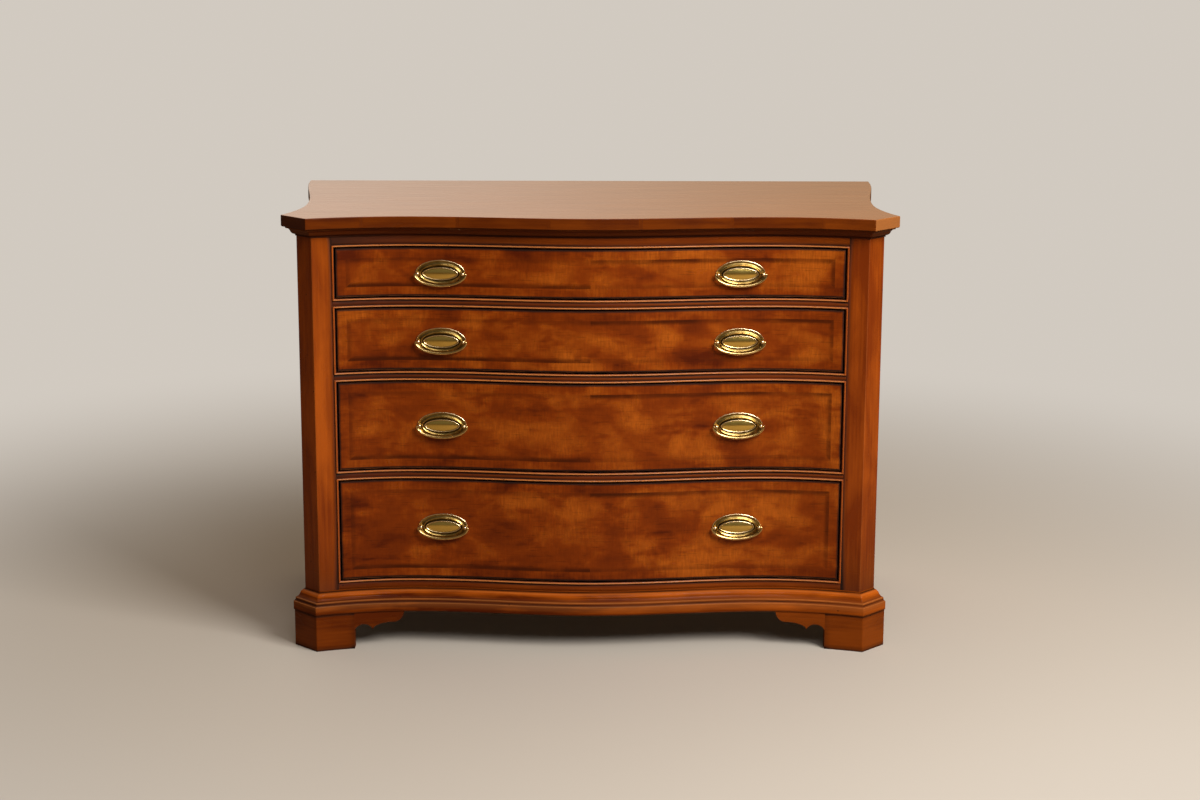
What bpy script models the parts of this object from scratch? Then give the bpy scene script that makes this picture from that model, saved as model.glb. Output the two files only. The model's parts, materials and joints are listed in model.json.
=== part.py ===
import math

import bmesh
import bpy
from mathutils import Vector

# Sizes are in metres. The chest faces -Y, and a depth is measured back from the top's front corners.

# Plan of the top board
DEPTH = 0.556
FRONT_CORNER = 0.525  # half width where the front meets the canted corners
CANT = 0.0515  # a canted corner measures this both ways
WAIST_DRAW = 0.032  # the ogee sides draw in this far behind the canted corners
WAIST_DEPTH = 0.200
BACK_SWELL = 0.0015  # and stand this far past them at the back
HOLLOW_HALF = 0.335  # half the distance between the two hollows of the front
HOLLOW_DEPTH = 0.034
BOW_DEPTH = 0.005  # the middle of the front, bowed forward again

# Insets of the other pieces from the edge of the top
CARCASS_INSET = 0.0245
BASE_INSET = 0.004
FOOT_INSET = 0.0055
CANT_SHARE = 0.97  # the canted corners move in by this share of an inset
BACK_OVERHANG = 0.008

# Heights, from the floor up
FOOT_HEIGHT = 0.0735
BASE_HEIGHT = 0.041
BOTTOM_RAIL_HEIGHT = 0.0175
RAIL_HEIGHT = 0.0178
TOP_RAIL_HEIGHT = 0.0386
TOP_THICKNESS = 0.0205
DRAWER_HEIGHTS = (0.091, 0.1168, 0.1676, 0.1925)  # fronts, top drawer first

# Fits
SEAT = 0.0003  # between pieces that touch
DRAWER_GAP = 0.0032  # round a drawer front

# Carcass
OPENING_INSET = 0.0467  # drawer openings, in from the front corners of the top
BEAD_WIDTH = 0.004
BEAD_PROUD = 0.003
BEAD_DEPTH = 0.018
STILE_DEPTH = 0.040  # behind the canted corner
RAIL_STOCK = 0.055  # rail behind the hollows
PANEL_THICKNESS = 0.018
BACK_PANEL_THICKNESS = 0.006
BACK_PANEL_INSET = 0.002
DUST_BOARD_THICKNESS = 0.012
GUIDE_WIDTH = 0.014  # strips on a dust board that keep a drawer straight
GUIDE_HEIGHT = 0.012
GUIDE_GAP = 0.0006
REAR_RAIL_STOCK = 0.020
TOP_EASE = 0.0012
TOP_ROUND = 0.0025

# Bed moulding under the top
BED_HEIGHT = 0.0185
BED_OVERHANG = 0.0065  # of the top past the moulding
BED_FILLET = 0.003
BED_STEP = 0.002
BED_FOOT = 0.002  # projection of the lowest fillet

# Base moulding
FASCIA_HEIGHT = 0.0165
BASE_FILLET = 0.004
BASE_STEP = 0.0035
BASE_LEDGE = 0.001  # flat in front of the carcass
BASE_WALL = 0.020  # base behind the carcass face
OGEE_FULLNESS = 0.6  # bend of both ogees, from 0 for a plain slope to 1 for quarter rounds

# Bracket feet
FOOT_WALL = 0.022
FOOT_FRONT = 0.071  # full height part, from the front corner inwards
FOOT_SIDE = 0.060  # full height part, from the canted corner backwards
FOOT_REAR = 0.075
FOOT_REAR_WING = 0.120
BRACKET_DROP = 0.0365  # the scallop springs from the foot this far below the base
COVE_WIDTH = 0.0347
COVE_RISE = 0.0113
SWEEP_WIDTH = 0.0408
SWEEP_RISE = 0.014
LIP_WIDTH = 0.019

# Drawers
FRONT_THICKNESS = 0.022
FRONT_PROUD = 0.001
SIDE_THICKNESS = 0.012
SIDE_DROP = 0.020  # sides below the top of the front
BACK_DROP = 0.006  # back below the sides
BOTTOM_THICKNESS = 0.006
BOTTOM_RISE = 0.010
GROOVE_DEPTH = 0.005
REAR_SPACE = 0.025  # between a drawer and the back panel
TAIL_LENGTH = 0.014  # half-blind dovetails that join the sides to a front
TAIL_FLARE = 0.0022  # a tail widens this much on each flank
TAIL_PITCH = 0.045
DOVETAIL_PIN = 0.012  # wood of the front between two tails

# Oval bail pulls
PULL_HALF = 0.281  # from the middle of a drawer
PULL_RISE = (-0.0025, -0.0035, 0.0, 0.005)  # above the middle of each front
PLATE_HALF_WIDTH = 0.047
PLATE_HALF_HEIGHT = 0.0262
BOSS_HALF_WIDTH = 0.0335
BOSS_HALF_HEIGHT = 0.012
PLATE_RIM_WIDTH = 0.0024
PLATE_RIM = 0.0024
PLATE_RING = 0.0034
PLATE_HOLLOW = 0.0018
BOSS_HEIGHT = 0.0056
POST_INSET = 0.007  # posts, in from the ends of the plate
POST_RADIUS = 0.0034
POST_NECK = 0.0026
POST_HEIGHT = 0.0115
AXIS_STANDOFF = 0.0075  # hinge axis of a bail, out from the back of the plate
PIN_RADIUS = 0.0012
PIN_CLEARANCE = 0.0004
BAIL_RISE = 0.005  # middle of a bail above the bottom of its plate
BAIL_END_RADIUS = 0.0018
BAIL_RADIUS = 0.0029
BAIL_CLEARANCE = 0.0004  # between a bail's leg and its post

# Facets
FRONT_FACETS = 11  # across half an opening
SIDE_FACETS = 10
LEAST_FACET = 0.0005  # a facet line nearer than this to an end is left out
CURVE_FACETS = 4
PLATE_FACETS = 20
PIN_FACETS = 8
BAIL_FACETS = 6
BAIL_STEPS = 10
SETTLE = 24  # rounds that place a canted corner
SHARP_ANGLE = math.radians(40)

CORNER_HALF = FRONT_CORNER + CANT
WAIST_HALF = CORNER_HALF - WAIST_DRAW
BACK_HALF = CORNER_HALF + BACK_SWELL
OPENING_HALF = FRONT_CORNER - OPENING_INSET
BASE_TOP = FOOT_HEIGHT + BASE_HEIGHT
OPENING_FLOOR = BASE_TOP + BOTTOM_RAIL_HEIGHT
OPENINGS_HEIGHT = sum(DRAWER_HEIGHTS) + 2 * DRAWER_GAP * len(DRAWER_HEIGHTS)
CARCASS_TOP = OPENING_FLOOR + OPENINGS_HEIGHT + RAIL_HEIGHT * (len(DRAWER_HEIGHTS) - 1) + TOP_RAIL_HEIGHT
HEIGHT = CARCASS_TOP + TOP_THICKNESS
CARCASS_BACK = DEPTH - BACK_OVERHANG
BACK_PANEL_FRONT = CARCASS_BACK - BACK_PANEL_INSET - BACK_PANEL_THICKNESS
DRAWER_REAR = BACK_PANEL_FRONT - REAR_SPACE
RAIL_BACK = CARCASS_INSET + HOLLOW_DEPTH + RAIL_STOCK
STILE_INNER = OPENING_HALF + BEAD_WIDTH
FRONT_HALF = OPENING_HALF - DRAWER_GAP
FRONT_INSET = CARCASS_INSET - FRONT_PROUD
BOX_HALF = FRONT_HALF - 2 * SEAT  # outside of a drawer's sides
BRACKET_SPRING = FOOT_HEIGHT - BRACKET_DROP
WING_LENGTH = COVE_WIDTH + SWEEP_WIDTH + LIP_WIDTH
POST_HALF = PLATE_HALF_WIDTH - POST_INSET
BAIL_DROP = PLATE_HALF_HEIGHT - BAIL_RISE
BAIL_LEG = POST_HALF + POST_RADIUS + BAIL_CLEARANCE + BAIL_END_RADIUS


def front_depth(x):
    """Depth of the serpentine front behind its corners: a cosine bow between parabolic ends."""
    x = abs(x)
    if x < HOLLOW_HALF:
        return BOW_DEPTH + (HOLLOW_DEPTH - BOW_DEPTH) * (1 - math.cos(math.pi * x / HOLLOW_HALF)) / 2
    return HOLLOW_DEPTH * (1 - ((x - HOLLOW_HALF) / (FRONT_CORNER - HOLLOW_HALF)) ** 2)


def side_half(depth):
    """Half width of the ogee sides: a parabola in to the waist, then a cosine swell to the back."""
    if depth < WAIST_DEPTH:
        lead = (WAIST_DEPTH - depth) / (WAIST_DEPTH - CANT)
        return WAIST_HALF + WAIST_DRAW * lead**2
    swell = (1 - math.cos(math.pi * (depth - WAIST_DEPTH) / (DEPTH - WAIST_DEPTH))) / 2
    return WAIST_HALF + (BACK_HALF - WAIST_HALF) * swell


def along(x, places, value):
    """A function of x read on the facets between its places."""
    for a, b in zip(places, places[1:]):
        if a <= x <= b:
            share = (x - a) / (b - a)
            return value(a) * (1 - share) + value(b) * share
    return value(x)


def side_stations():
    """Depths of the facet lines that all sides share."""
    return spread(CANT, CARCASS_BACK, SIDE_FACETS) + [DEPTH]


def faceted_side(depth):
    return along(depth, side_stations(), side_half)


def corners(inset):
    """The front and outer ends, as (x, depth), of a canted corner moved in by an inset."""
    cant_line = FRONT_CORNER - CANT_SHARE * inset * math.sqrt(2)
    x = FRONT_CORNER
    depth = CANT
    for _ in range(SETTLE):
        x = cant_line + front_depth(x) + inset
        depth = faceted_side(depth) - inset - cant_line
    return (x, front_depth(x) + inset), (faceted_side(depth) - inset, depth)


def front_stations(half):
    """Places across a front: the facet lines that all fronts share, and its own two ends."""
    step = OPENING_HALF / FRONT_FACETS
    inner = [step * k for k in range(-FRONT_FACETS, FRONT_FACETS + 1)]
    return [-half] + [x for x in inner if abs(x) < half - BEAD_WIDTH / 2] + [half]


def faceted_depth(x, half):
    """Depth at x of a front of this half width, on its facets."""
    return along(x, front_stations(half), front_depth)


def spread(start, end, steps):
    return [start + (end - start) * k / steps for k in range(steps + 1)]


def side_depths(start, end):
    """A side's two ends and the shared facet lines between them."""
    return [start] + [s for s in side_stations() if start + LEAST_FACET < s < end - LEAST_FACET] + [end]


def side_line(inset, start, end):
    return [(faceted_side(depth) - inset, depth) for depth in side_depths(start, end)]


def plan(inset, back):
    """The plan moved in by an inset, as (x, depth): from the back round the front to the back."""
    front_end, outer_end = corners(inset)
    half = [(x, front_depth(x) + inset) for x in front_stations(OPENING_HALF) if x >= 0]
    half += [front_end] + side_line(inset, outer_end[1], back)
    return [(-x, depth) for x, depth in reversed(half[1:])] + half


def at(x, depth, z):
    return Vector((x, depth - DEPTH / 2, z))


def quarter(start, end, first_across, fullness=1.0):
    """Points after the start of a quarter ellipse, flattened towards its chord as fullness falls."""
    points = []
    for share in spread(0, 1, CURVE_FACETS)[1:]:
        fast, slow = math.sin(share * math.pi / 2), 1 - math.cos(share * math.pi / 2)
        a, b = (fast, slow) if first_across else (slow, fast)
        a, b = (fullness * c + (1 - fullness) * share for c in (a, b))
        points.append((start[0] + (end[0] - start[0]) * a, start[1] + (end[1] - start[1]) * b))
    return points


def finish(name, colour, roughness, metallic=0.0):
    material = bpy.data.materials.new(name)
    material.use_nodes = True
    shader = material.node_tree.nodes["Principled BSDF"]
    shader.inputs["Base Color"].default_value = (*colour, 1)
    shader.inputs["Roughness"].default_value = roughness
    shader.inputs["Metallic"].default_value = metallic
    return material


def place(name, mesh, material, parent=None, location=(0, 0, 0), turn=0.0):
    mesh.materials.clear()
    mesh.materials.append(material)
    body = bpy.data.objects.new(name, mesh)
    body.location = location
    body.rotation_euler.z = turn
    body.parent = parent
    bpy.context.scene.collection.objects.link(body)
    return body


def skin(name, rings, smooth=False):
    """The mesh of one closed body through closed rings of points, capped at both ends."""
    build = bmesh.new()
    rows = [[build.verts.new(point) for point in ring] for ring in rings]
    for near, far in zip(rows, rows[1:]):
        for k in range(len(near)):
            following = (k + 1) % len(near)
            build.faces.new((near[k], near[following], far[following], far[k]))
    build.faces.new(reversed(rows[0]))
    build.faces.new(rows[-1])
    bmesh.ops.recalc_face_normals(build, faces=build.faces)
    mesh = bpy.data.meshes.new(name)
    build.to_mesh(mesh)
    build.free()
    if smooth:
        mesh.shade_smooth()
        mesh.set_sharp_from_angle(angle=SHARP_ANGLE)
    return mesh


def block(name, x, depth, z):
    """A box from three (low, high) pairs."""
    outline = [(x[0], depth[0]), (x[1], depth[0]), (x[1], depth[1]), (x[0], depth[1])]
    return skin(name, [[at(*point, level) for point in outline] for level in z])


def combine(body, tool, operation):
    modifier = body.modifiers.new(tool.name, "BOOLEAN")
    modifier.operation = operation
    modifier.object = tool
    tool.hide_render = True
    tool.display_type = "WIRE"


def front_piece(name, half, profile):
    """A piece across the front. A profile point is a depth, as a function of x, and a height."""
    return skin(name, [[at(x, depth(x), z) for depth, z in profile] for x in front_stations(half)])


def curved(inset):
    return lambda x: front_depth(x) + inset


def straight(depth):
    return lambda x: depth


def bead_profile(low):
    """Half round bead that stands on the carcass face, from its low edge up, as (inset, height)."""
    angles = spread(-math.pi / 2, math.pi / 2, CURVE_FACETS)
    middle = low + BEAD_WIDTH / 2
    return [(CARCASS_INSET - BEAD_PROUD * math.cos(a), middle + BEAD_WIDTH / 2 * math.sin(a)) for a in angles]


def make_top(wood):
    levels = (
        (TOP_EASE, CARCASS_TOP),
        (0, CARCASS_TOP + TOP_EASE),
        (0, HEIGHT - TOP_ROUND),
        (TOP_ROUND, HEIGHT),
    )
    rings = [[at(x, depth, z) for x, depth in plan(inset, DEPTH - inset)] for inset, z in levels]
    place("top_board", skin("top_board", rings), wood)


def moulding(name, profile, back, wood):
    """A profile of (inset, height) carried round the sides and front."""
    lines = [[at(x, depth, z) for x, depth in plan(inset, back)] for inset, z in profile]
    place(name, skin(name, list(zip(*lines))), wood)


def make_bed_moulding(wood):
    top = CARCASS_TOP - SEAT
    low = top - BED_HEIGHT
    foot = CARCASS_INSET - BED_FOOT
    ogee_high = (BED_OVERHANG + BED_STEP, top - BED_FILLET)
    ogee_low = (foot - BED_STEP, low + BED_FILLET)
    turn = tuple((a + b) / 2 for a, b in zip(ogee_high, ogee_low))
    profile = [(BED_OVERHANG, top), (BED_OVERHANG, ogee_high[1]), ogee_high]
    profile += quarter(ogee_high, turn, True, OGEE_FULLNESS)[1::2]
    profile += quarter(turn, ogee_low, False, OGEE_FULLNESS)[1::2]
    profile += [(foot, ogee_low[1]), (foot, low), (CARCASS_INSET - SEAT, low), (CARCASS_INSET - SEAT, top)]
    moulding("bed_moulding", profile, CARCASS_BACK, wood)


def make_base(wood):
    fascia_top = FOOT_HEIGHT + FASCIA_HEIGHT
    fillet = BASE_INSET + BASE_STEP
    fillet_low = fascia_top + BASE_STEP
    ogee_low = (fillet, fillet_low + BASE_FILLET)
    ogee_high = (CARCASS_INSET - BASE_LEDGE, BASE_TOP)
    turn = tuple((a + b) / 2 for a, b in zip(ogee_low, ogee_high))
    inner = CARCASS_INSET + BASE_WALL
    profile = [(BASE_INSET, FOOT_HEIGHT), (BASE_INSET, fascia_top), (fillet, fillet_low), ogee_low]
    profile += quarter(ogee_low, turn, True, OGEE_FULLNESS)
    profile += quarter(turn, ogee_high, False, OGEE_FULLNESS)
    profile += [(inner, BASE_TOP), (inner, FOOT_HEIGHT)]
    moulding("base_moulding", profile, CARCASS_BACK, wood)


def make_rail(name, low, high, beads, wood):
    profile = []
    for bead in beads:
        profile += [(curved(inset), z) for inset, z in bead_profile(bead)]
    if low < beads[0]:
        profile.insert(0, (curved(CARCASS_INSET), low))
    if high > beads[-1] + BEAD_WIDTH + SEAT:
        profile.append((curved(CARCASS_INSET), high))
    profile += [(straight(RAIL_BACK), high), (straight(RAIL_BACK), low)]
    place(name, front_piece(name, STILE_INNER - SEAT, profile), wood)


def make_stile(name, side, openings, wood):
    """A canted corner post, with the beads that stand beside the openings."""
    front_end, outer_end = corners(CARCASS_INSET)
    rear = outer_end[1] + STILE_DEPTH
    outline = [
        (STILE_INNER, front_depth(STILE_INNER) + CARCASS_INSET),
        front_end,
        outer_end,
        (side_half(rear) - CARCASS_INSET, rear),
        (STILE_INNER, rear),
    ]
    levels = (BASE_TOP + SEAT, CARCASS_TOP - SEAT)
    rings = [[at(side * x, depth, z) for x, depth in outline] for z in levels]
    post = place(name, skin(name, rings), wood)
    face = outline[0][1]
    middle = STILE_INNER - BEAD_WIDTH / 2
    nose = [
        (middle + BEAD_WIDTH / 2 * math.sin(a), face - BEAD_PROUD * math.cos(a))
        for a in spread(-math.pi / 2, math.pi / 2, CURVE_FACETS)
    ]
    root = STILE_INNER + BEAD_WIDTH / 2
    strip = nose + [(root, face + BEAD_WIDTH), (root, face + BEAD_DEPTH), (OPENING_HALF, face + BEAD_DEPTH)]
    for number, (low, high) in enumerate(openings, 1):
        levels = (low + SEAT, high - SEAT)
        rings = [[at(side * x, depth, z) for x, depth in strip] for z in levels]
        bead_name = f"{name}_bead_{number}"
        combine(post, place(bead_name, skin(bead_name, rings), wood), "UNION")


def make_side_panel(name, side, wood):
    start = corners(CARCASS_INSET)[1][1] + STILE_DEPTH + SEAT
    outer = side_line(CARCASS_INSET, start, CARCASS_BACK)
    inner = side_line(CARCASS_INSET + PANEL_THICKNESS, start, CARCASS_BACK)
    outline = [(side * x, depth) for x, depth in outer + inner[::-1]]
    levels = (BASE_TOP + SEAT, CARCASS_TOP - SEAT)
    rings = [[at(x, depth, z) for x, depth in outline] for z in levels]
    place(name, skin(name, rings), wood)


def inside_half(front, back):
    """Half the clear width between the side panels over a stretch of depth."""
    narrowest = min(faceted_side(depth) for depth in side_depths(front, back))
    return narrowest - CARCASS_INSET - PANEL_THICKNESS - SEAT


def make_rear(panel_wood, rail_wood):
    panel_depth = (BACK_PANEL_FRONT, BACK_PANEL_FRONT + BACK_PANEL_THICKNESS)
    half = inside_half(*panel_depth)
    mesh = block("back_panel", (-half, half), panel_depth, (BASE_TOP + SEAT, CARCASS_TOP - SEAT))
    place("back_panel", mesh, panel_wood)
    rail_depth = (BACK_PANEL_FRONT - SEAT - REAR_RAIL_STOCK, BACK_PANEL_FRONT - SEAT)
    half = inside_half(*rail_depth)
    heights = (CARCASS_TOP - BED_HEIGHT, CARCASS_TOP - SEAT)
    place("top_rear_rail", block("top_rear_rail", (-half, half), rail_depth, heights), rail_wood)
    rail_depth = (CARCASS_BACK - REAR_RAIL_STOCK, CARCASS_BACK)
    half = inside_half(*rail_depth) + PANEL_THICKNESS - BASE_WALL
    heights = (FOOT_HEIGHT, BASE_TOP)
    place("base_rear_rail", block("base_rear_rail", (-half, half), rail_depth, heights), rail_wood)


def make_dust_board(name, top, wood):
    """A board under a drawer, from the rail to the back panel and out to the ogee sides, with two guides."""
    start, end = RAIL_BACK + SEAT, BACK_PANEL_FRONT - SEAT
    half = side_line(CARCASS_INSET + PANEL_THICKNESS + SEAT, start, end)
    outline = half + [(-x, depth) for x, depth in reversed(half)]
    rings = [[at(x, depth, z) for x, depth in outline] for z in (top - DUST_BOARD_THICKNESS, top)]
    board = place(name, skin(name, rings), wood)
    inner = BOX_HALF + GUIDE_GAP
    heights = (top - DUST_BOARD_THICKNESS / 2, top + GUIDE_HEIGHT)
    for label, side in (("left", -1), ("right", 1)):
        guide_name = f"{name}_{label}_guide"
        strip = block(guide_name, (side * inner, side * (inner + GUIDE_WIDTH)), (start, end), heights)
        combine(board, place(guide_name, strip, wood), "UNION")


def bracket_void():
    """The space under a bracket's wing, as (run from the foot, height): a cove, a sweep and a lip."""
    chord, rise = COVE_WIDTH / 2, COVE_RISE
    radius = (chord**2 + rise**2) / (2 * rise)
    reach = math.asin(chord / radius)
    centre = BRACKET_SPRING + rise - radius
    outline = [(0, -FOOT_HEIGHT)]
    for angle in spread(-reach, reach, 2 * CURVE_FACETS):
        outline.append((chord + radius * math.sin(angle), centre + radius * math.cos(angle)))
    cusp = (COVE_WIDTH, BRACKET_SPRING)
    flat = (cusp[0] + SWEEP_WIDTH, cusp[1] + SWEEP_RISE)
    tip = (flat[0] + LIP_WIDTH, FOOT_HEIGHT)
    outline += quarter(cusp, flat, False) + quarter(flat, tip, True)
    beyond = tip[0] + FOOT_WALL
    return outline + [(tip[0], 2 * FOOT_HEIGHT), (beyond, 2 * FOOT_HEIGHT), (beyond, -FOOT_HEIGHT)]


def foot(name, side, outer, inner, wood):
    """A wall that turns a corner, from matching outer and inner lines in plan."""
    top = FOOT_HEIGHT - SEAT
    rings = [
        [at(side * a, b, 0), at(side * a, b, top), at(side * c, d, top), at(side * c, d, 0)]
        for (a, b), (c, d) in zip(outer, inner)
    ]
    return place(name, skin(name, rings), wood)


def cut_wing(body, name, points_at, wood):
    """Cuts the bracket scallop. points_at gives a point from the run, the height and one of two ends."""
    rings = [[points_at(run, z, end) for run, z in bracket_void()] for end in (0, 1)]
    combine(body, place(name, skin(name, rings), wood), "DIFFERENCE")


def wing_widths():
    """Half widths that pass right through the wall of a side wing."""
    return WAIST_HALF - 2 * FOOT_WALL, CORNER_HALF + 2 * FOOT_WALL


def make_front_foot(name, side, wood):
    lines = []
    front_start = corners(FOOT_INSET)[0][0] - FOOT_FRONT
    side_start = corners(FOOT_INSET)[1][1] + FOOT_SIDE
    wing_end = front_start - WING_LENGTH
    side_end = side_start + WING_LENGTH
    for inset in (FOOT_INSET, FOOT_INSET + FOOT_WALL):
        front_end, outer_end = corners(inset)
        stations = [x for x in front_stations(OPENING_HALF) if x > wing_end + BEAD_WIDTH]
        line = [(x, front_depth(x) + inset) for x in [wing_end] + stations]
        lines.append(line + [front_end] + side_line(inset, outer_end[1], side_end))
    body = foot(name, side, *lines, wood)
    depths = (-FOOT_WALL, HOLLOW_DEPTH + 2 * FOOT_WALL)

    def under_front(run, z, end):
        return at(side * (front_start - run), depths[end], z)

    def under_side(run, z, end):
        return at(side * wing_widths()[end], side_start + run, z)

    cut_wing(body, f"{name}_front_scallop", under_front, wood)
    cut_wing(body, f"{name}_side_scallop", under_side, wood)


def make_rear_foot(name, side, wood):
    side_start = CARCASS_BACK - FOOT_REAR
    wing_end = side_start - WING_LENGTH
    lines = []
    for inset, back in ((FOOT_INSET, CARCASS_BACK), (FOOT_INSET + FOOT_WALL, CARCASS_BACK - FOOT_WALL)):
        line = side_line(inset, wing_end, back)
        lines.append(line + [(BACK_HALF - FOOT_REAR_WING, back)])
    body = foot(name, side, *lines, wood)

    def under_side(run, z, end):
        return at(side * wing_widths()[end], side_start - run, z)

    cut_wing(body, f"{name}_side_scallop", under_side, wood)


def front_back(x):
    """Depth of the back of a drawer front."""
    return faceted_depth(x, FRONT_HALF) + FRONT_INSET + FRONT_THICKNESS


def tail_spans(low, high):
    """(low, high) of the root of each dovetail on a drawer side."""
    count = max(2, round((high - low) / TAIL_PITCH))
    pitch = (high - low) / count
    half = (pitch - DOVETAIL_PIN) / 2
    middles = [low + pitch * (k + 0.5) for k in range(count)]
    return [(middle - half, middle + half) for middle in middles]


def side_outline(side, x, heights):
    """Outline of a drawer side at x: its length, with dovetails that reach into the front."""
    shoulder = front_back(x) + SEAT
    tip = shoulder - TAIL_LENGTH
    outline = [(DRAWER_REAR, heights[0]), (shoulder, heights[0])]
    for low, high in tail_spans(*heights):
        outline += [(shoulder, low), (tip, low - TAIL_FLARE), (tip, high + TAIL_FLARE), (shoulder, high)]
    outline += [(shoulder, heights[1]), (DRAWER_REAR, heights[1])]
    return [at(side * x, depth, z) for depth, z in outline]


def socket_outline(side, x, span):
    """The space for one dovetail in the back of a front, at x."""
    root = front_back(x) + TAIL_LENGTH
    tip = front_back(x) - TAIL_LENGTH
    low, high = span[0] - SEAT, span[1] + SEAT
    outline = [(root, low + TAIL_FLARE), (tip, low - TAIL_FLARE)]
    outline += [(tip, high + TAIL_FLARE), (root, high - TAIL_FLARE)]
    return [at(side * x, depth, z) for depth, z in outline]


def make_drawer(number, low, height, veneer, box_wood, panel_wood, brass, pull_meshes):
    name = f"drawer_{number}"
    slide = bpy.data.objects.new(name, None)
    bpy.context.scene.collection.objects.link(slide)
    front_low = low + DRAWER_GAP
    front_top = front_low + height
    back_face = curved(FRONT_INSET + FRONT_THICKNESS)
    front = [
        (curved(FRONT_INSET), front_low),
        (curved(FRONT_INSET), front_top),
        (back_face, front_top),
        (back_face, front_low),
    ]
    front_body = place(f"{name}_front", front_piece(f"{name}_front", FRONT_HALF, front), veneer, slide)

    side_heights = (low + SEAT, front_top - SIDE_DROP)
    side_top = side_heights[1]
    bottom_low = low + BOTTOM_RISE
    bottom_top = bottom_low + BOTTOM_THICKNESS
    box_inner = BOX_HALF - SIDE_THICKNESS
    groove = box_inner + GROOVE_DEPTH
    groove_heights = (bottom_low - SEAT, bottom_top + SEAT)
    for label, side in (("left", -1), ("right", 1)):
        side_name = f"{name}_{label}_side"
        rings = [side_outline(side, x, side_heights) for x in (box_inner, BOX_HALF)]
        side_body = place(side_name, skin(side_name, rings), box_wood, slide)
        widths = (side * (box_inner - GROOVE_DEPTH), side * groove)
        slot = block(f"{side_name}_groove", widths, (0, DEPTH), groove_heights)
        combine(side_body, place(f"{side_name}_groove", slot, box_wood), "DIFFERENCE")
        for number_up, span in enumerate(tail_spans(*side_heights), 1):
            socket_name = f"{side_name}_socket_{number_up}"
            rings = [socket_outline(side, x, span) for x in (box_inner - SEAT, FRONT_HALF + SEAT)]
            combine(front_body, place(socket_name, skin(socket_name, rings), veneer), "DIFFERENCE")

    back_half = box_inner - SEAT
    back_depth = (DRAWER_REAR - SIDE_THICKNESS, DRAWER_REAR)
    back_heights = (bottom_top + SEAT, side_top - BACK_DROP)
    back = block(f"{name}_back", (-back_half, back_half), back_depth, back_heights)
    place(f"{name}_back", back, box_wood, slide)

    bottom_half = groove - SEAT
    edge = [(x, front_back(x) + SEAT) for x in front_stations(bottom_half)]
    outline = edge + [(bottom_half, DRAWER_REAR), (-bottom_half, DRAWER_REAR)]
    rings = [[at(x, depth, z) for x, depth in outline] for z in (bottom_low, bottom_top)]
    place(f"{name}_bottom", skin(f"{name}_bottom", rings), panel_wood, slide)

    pull_height = (front_low + front_top) / 2 + PULL_RISE[number - 1]
    for label, side in (("left", -1), ("right", 1)):
        make_pull(f"{name}_{label}", side, pull_height, slide, brass, pull_meshes)


def pull_seat(side):
    """Where the back of a plate sits, and its turn: square to the front, just clear of its facets."""
    step = PLATE_HALF_WIDTH
    ends = [faceted_depth(PULL_HALF + k * step, FRONT_HALF) for k in (-1, 1)]
    turn = math.atan2(ends[1] - ends[0], 2 * step)
    nearest = min(
        faceted_depth(x, FRONT_HALF) - math.tan(turn) * (x - PULL_HALF)
        for x in [PULL_HALF - step, PULL_HALF + step] + front_stations(FRONT_HALF)
        if abs(x - PULL_HALF) <= step
    )
    return at(side * PULL_HALF, nearest + FRONT_INSET - SEAT / math.cos(turn), 0), side * turn


def make_pull(name, side, height, slide, brass, pull_meshes):
    seat, turn = pull_seat(side)
    seat.z = height
    plate_mesh, bail_mesh = pull_meshes
    place(f"{name}_plate", plate_mesh, brass, slide, seat, turn)
    outwards = Vector((math.sin(turn), -math.cos(turn), 0))
    place(f"{name}_bail", bail_mesh, brass, slide, seat + outwards * AXIS_STANDOFF, turn)


def oval(half_width, half_height, out):
    angles = [2 * math.pi * k / PLATE_FACETS for k in range(PLATE_FACETS)]
    return [(half_width * math.cos(a), -out, half_height * math.sin(a)) for a in angles]


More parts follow.
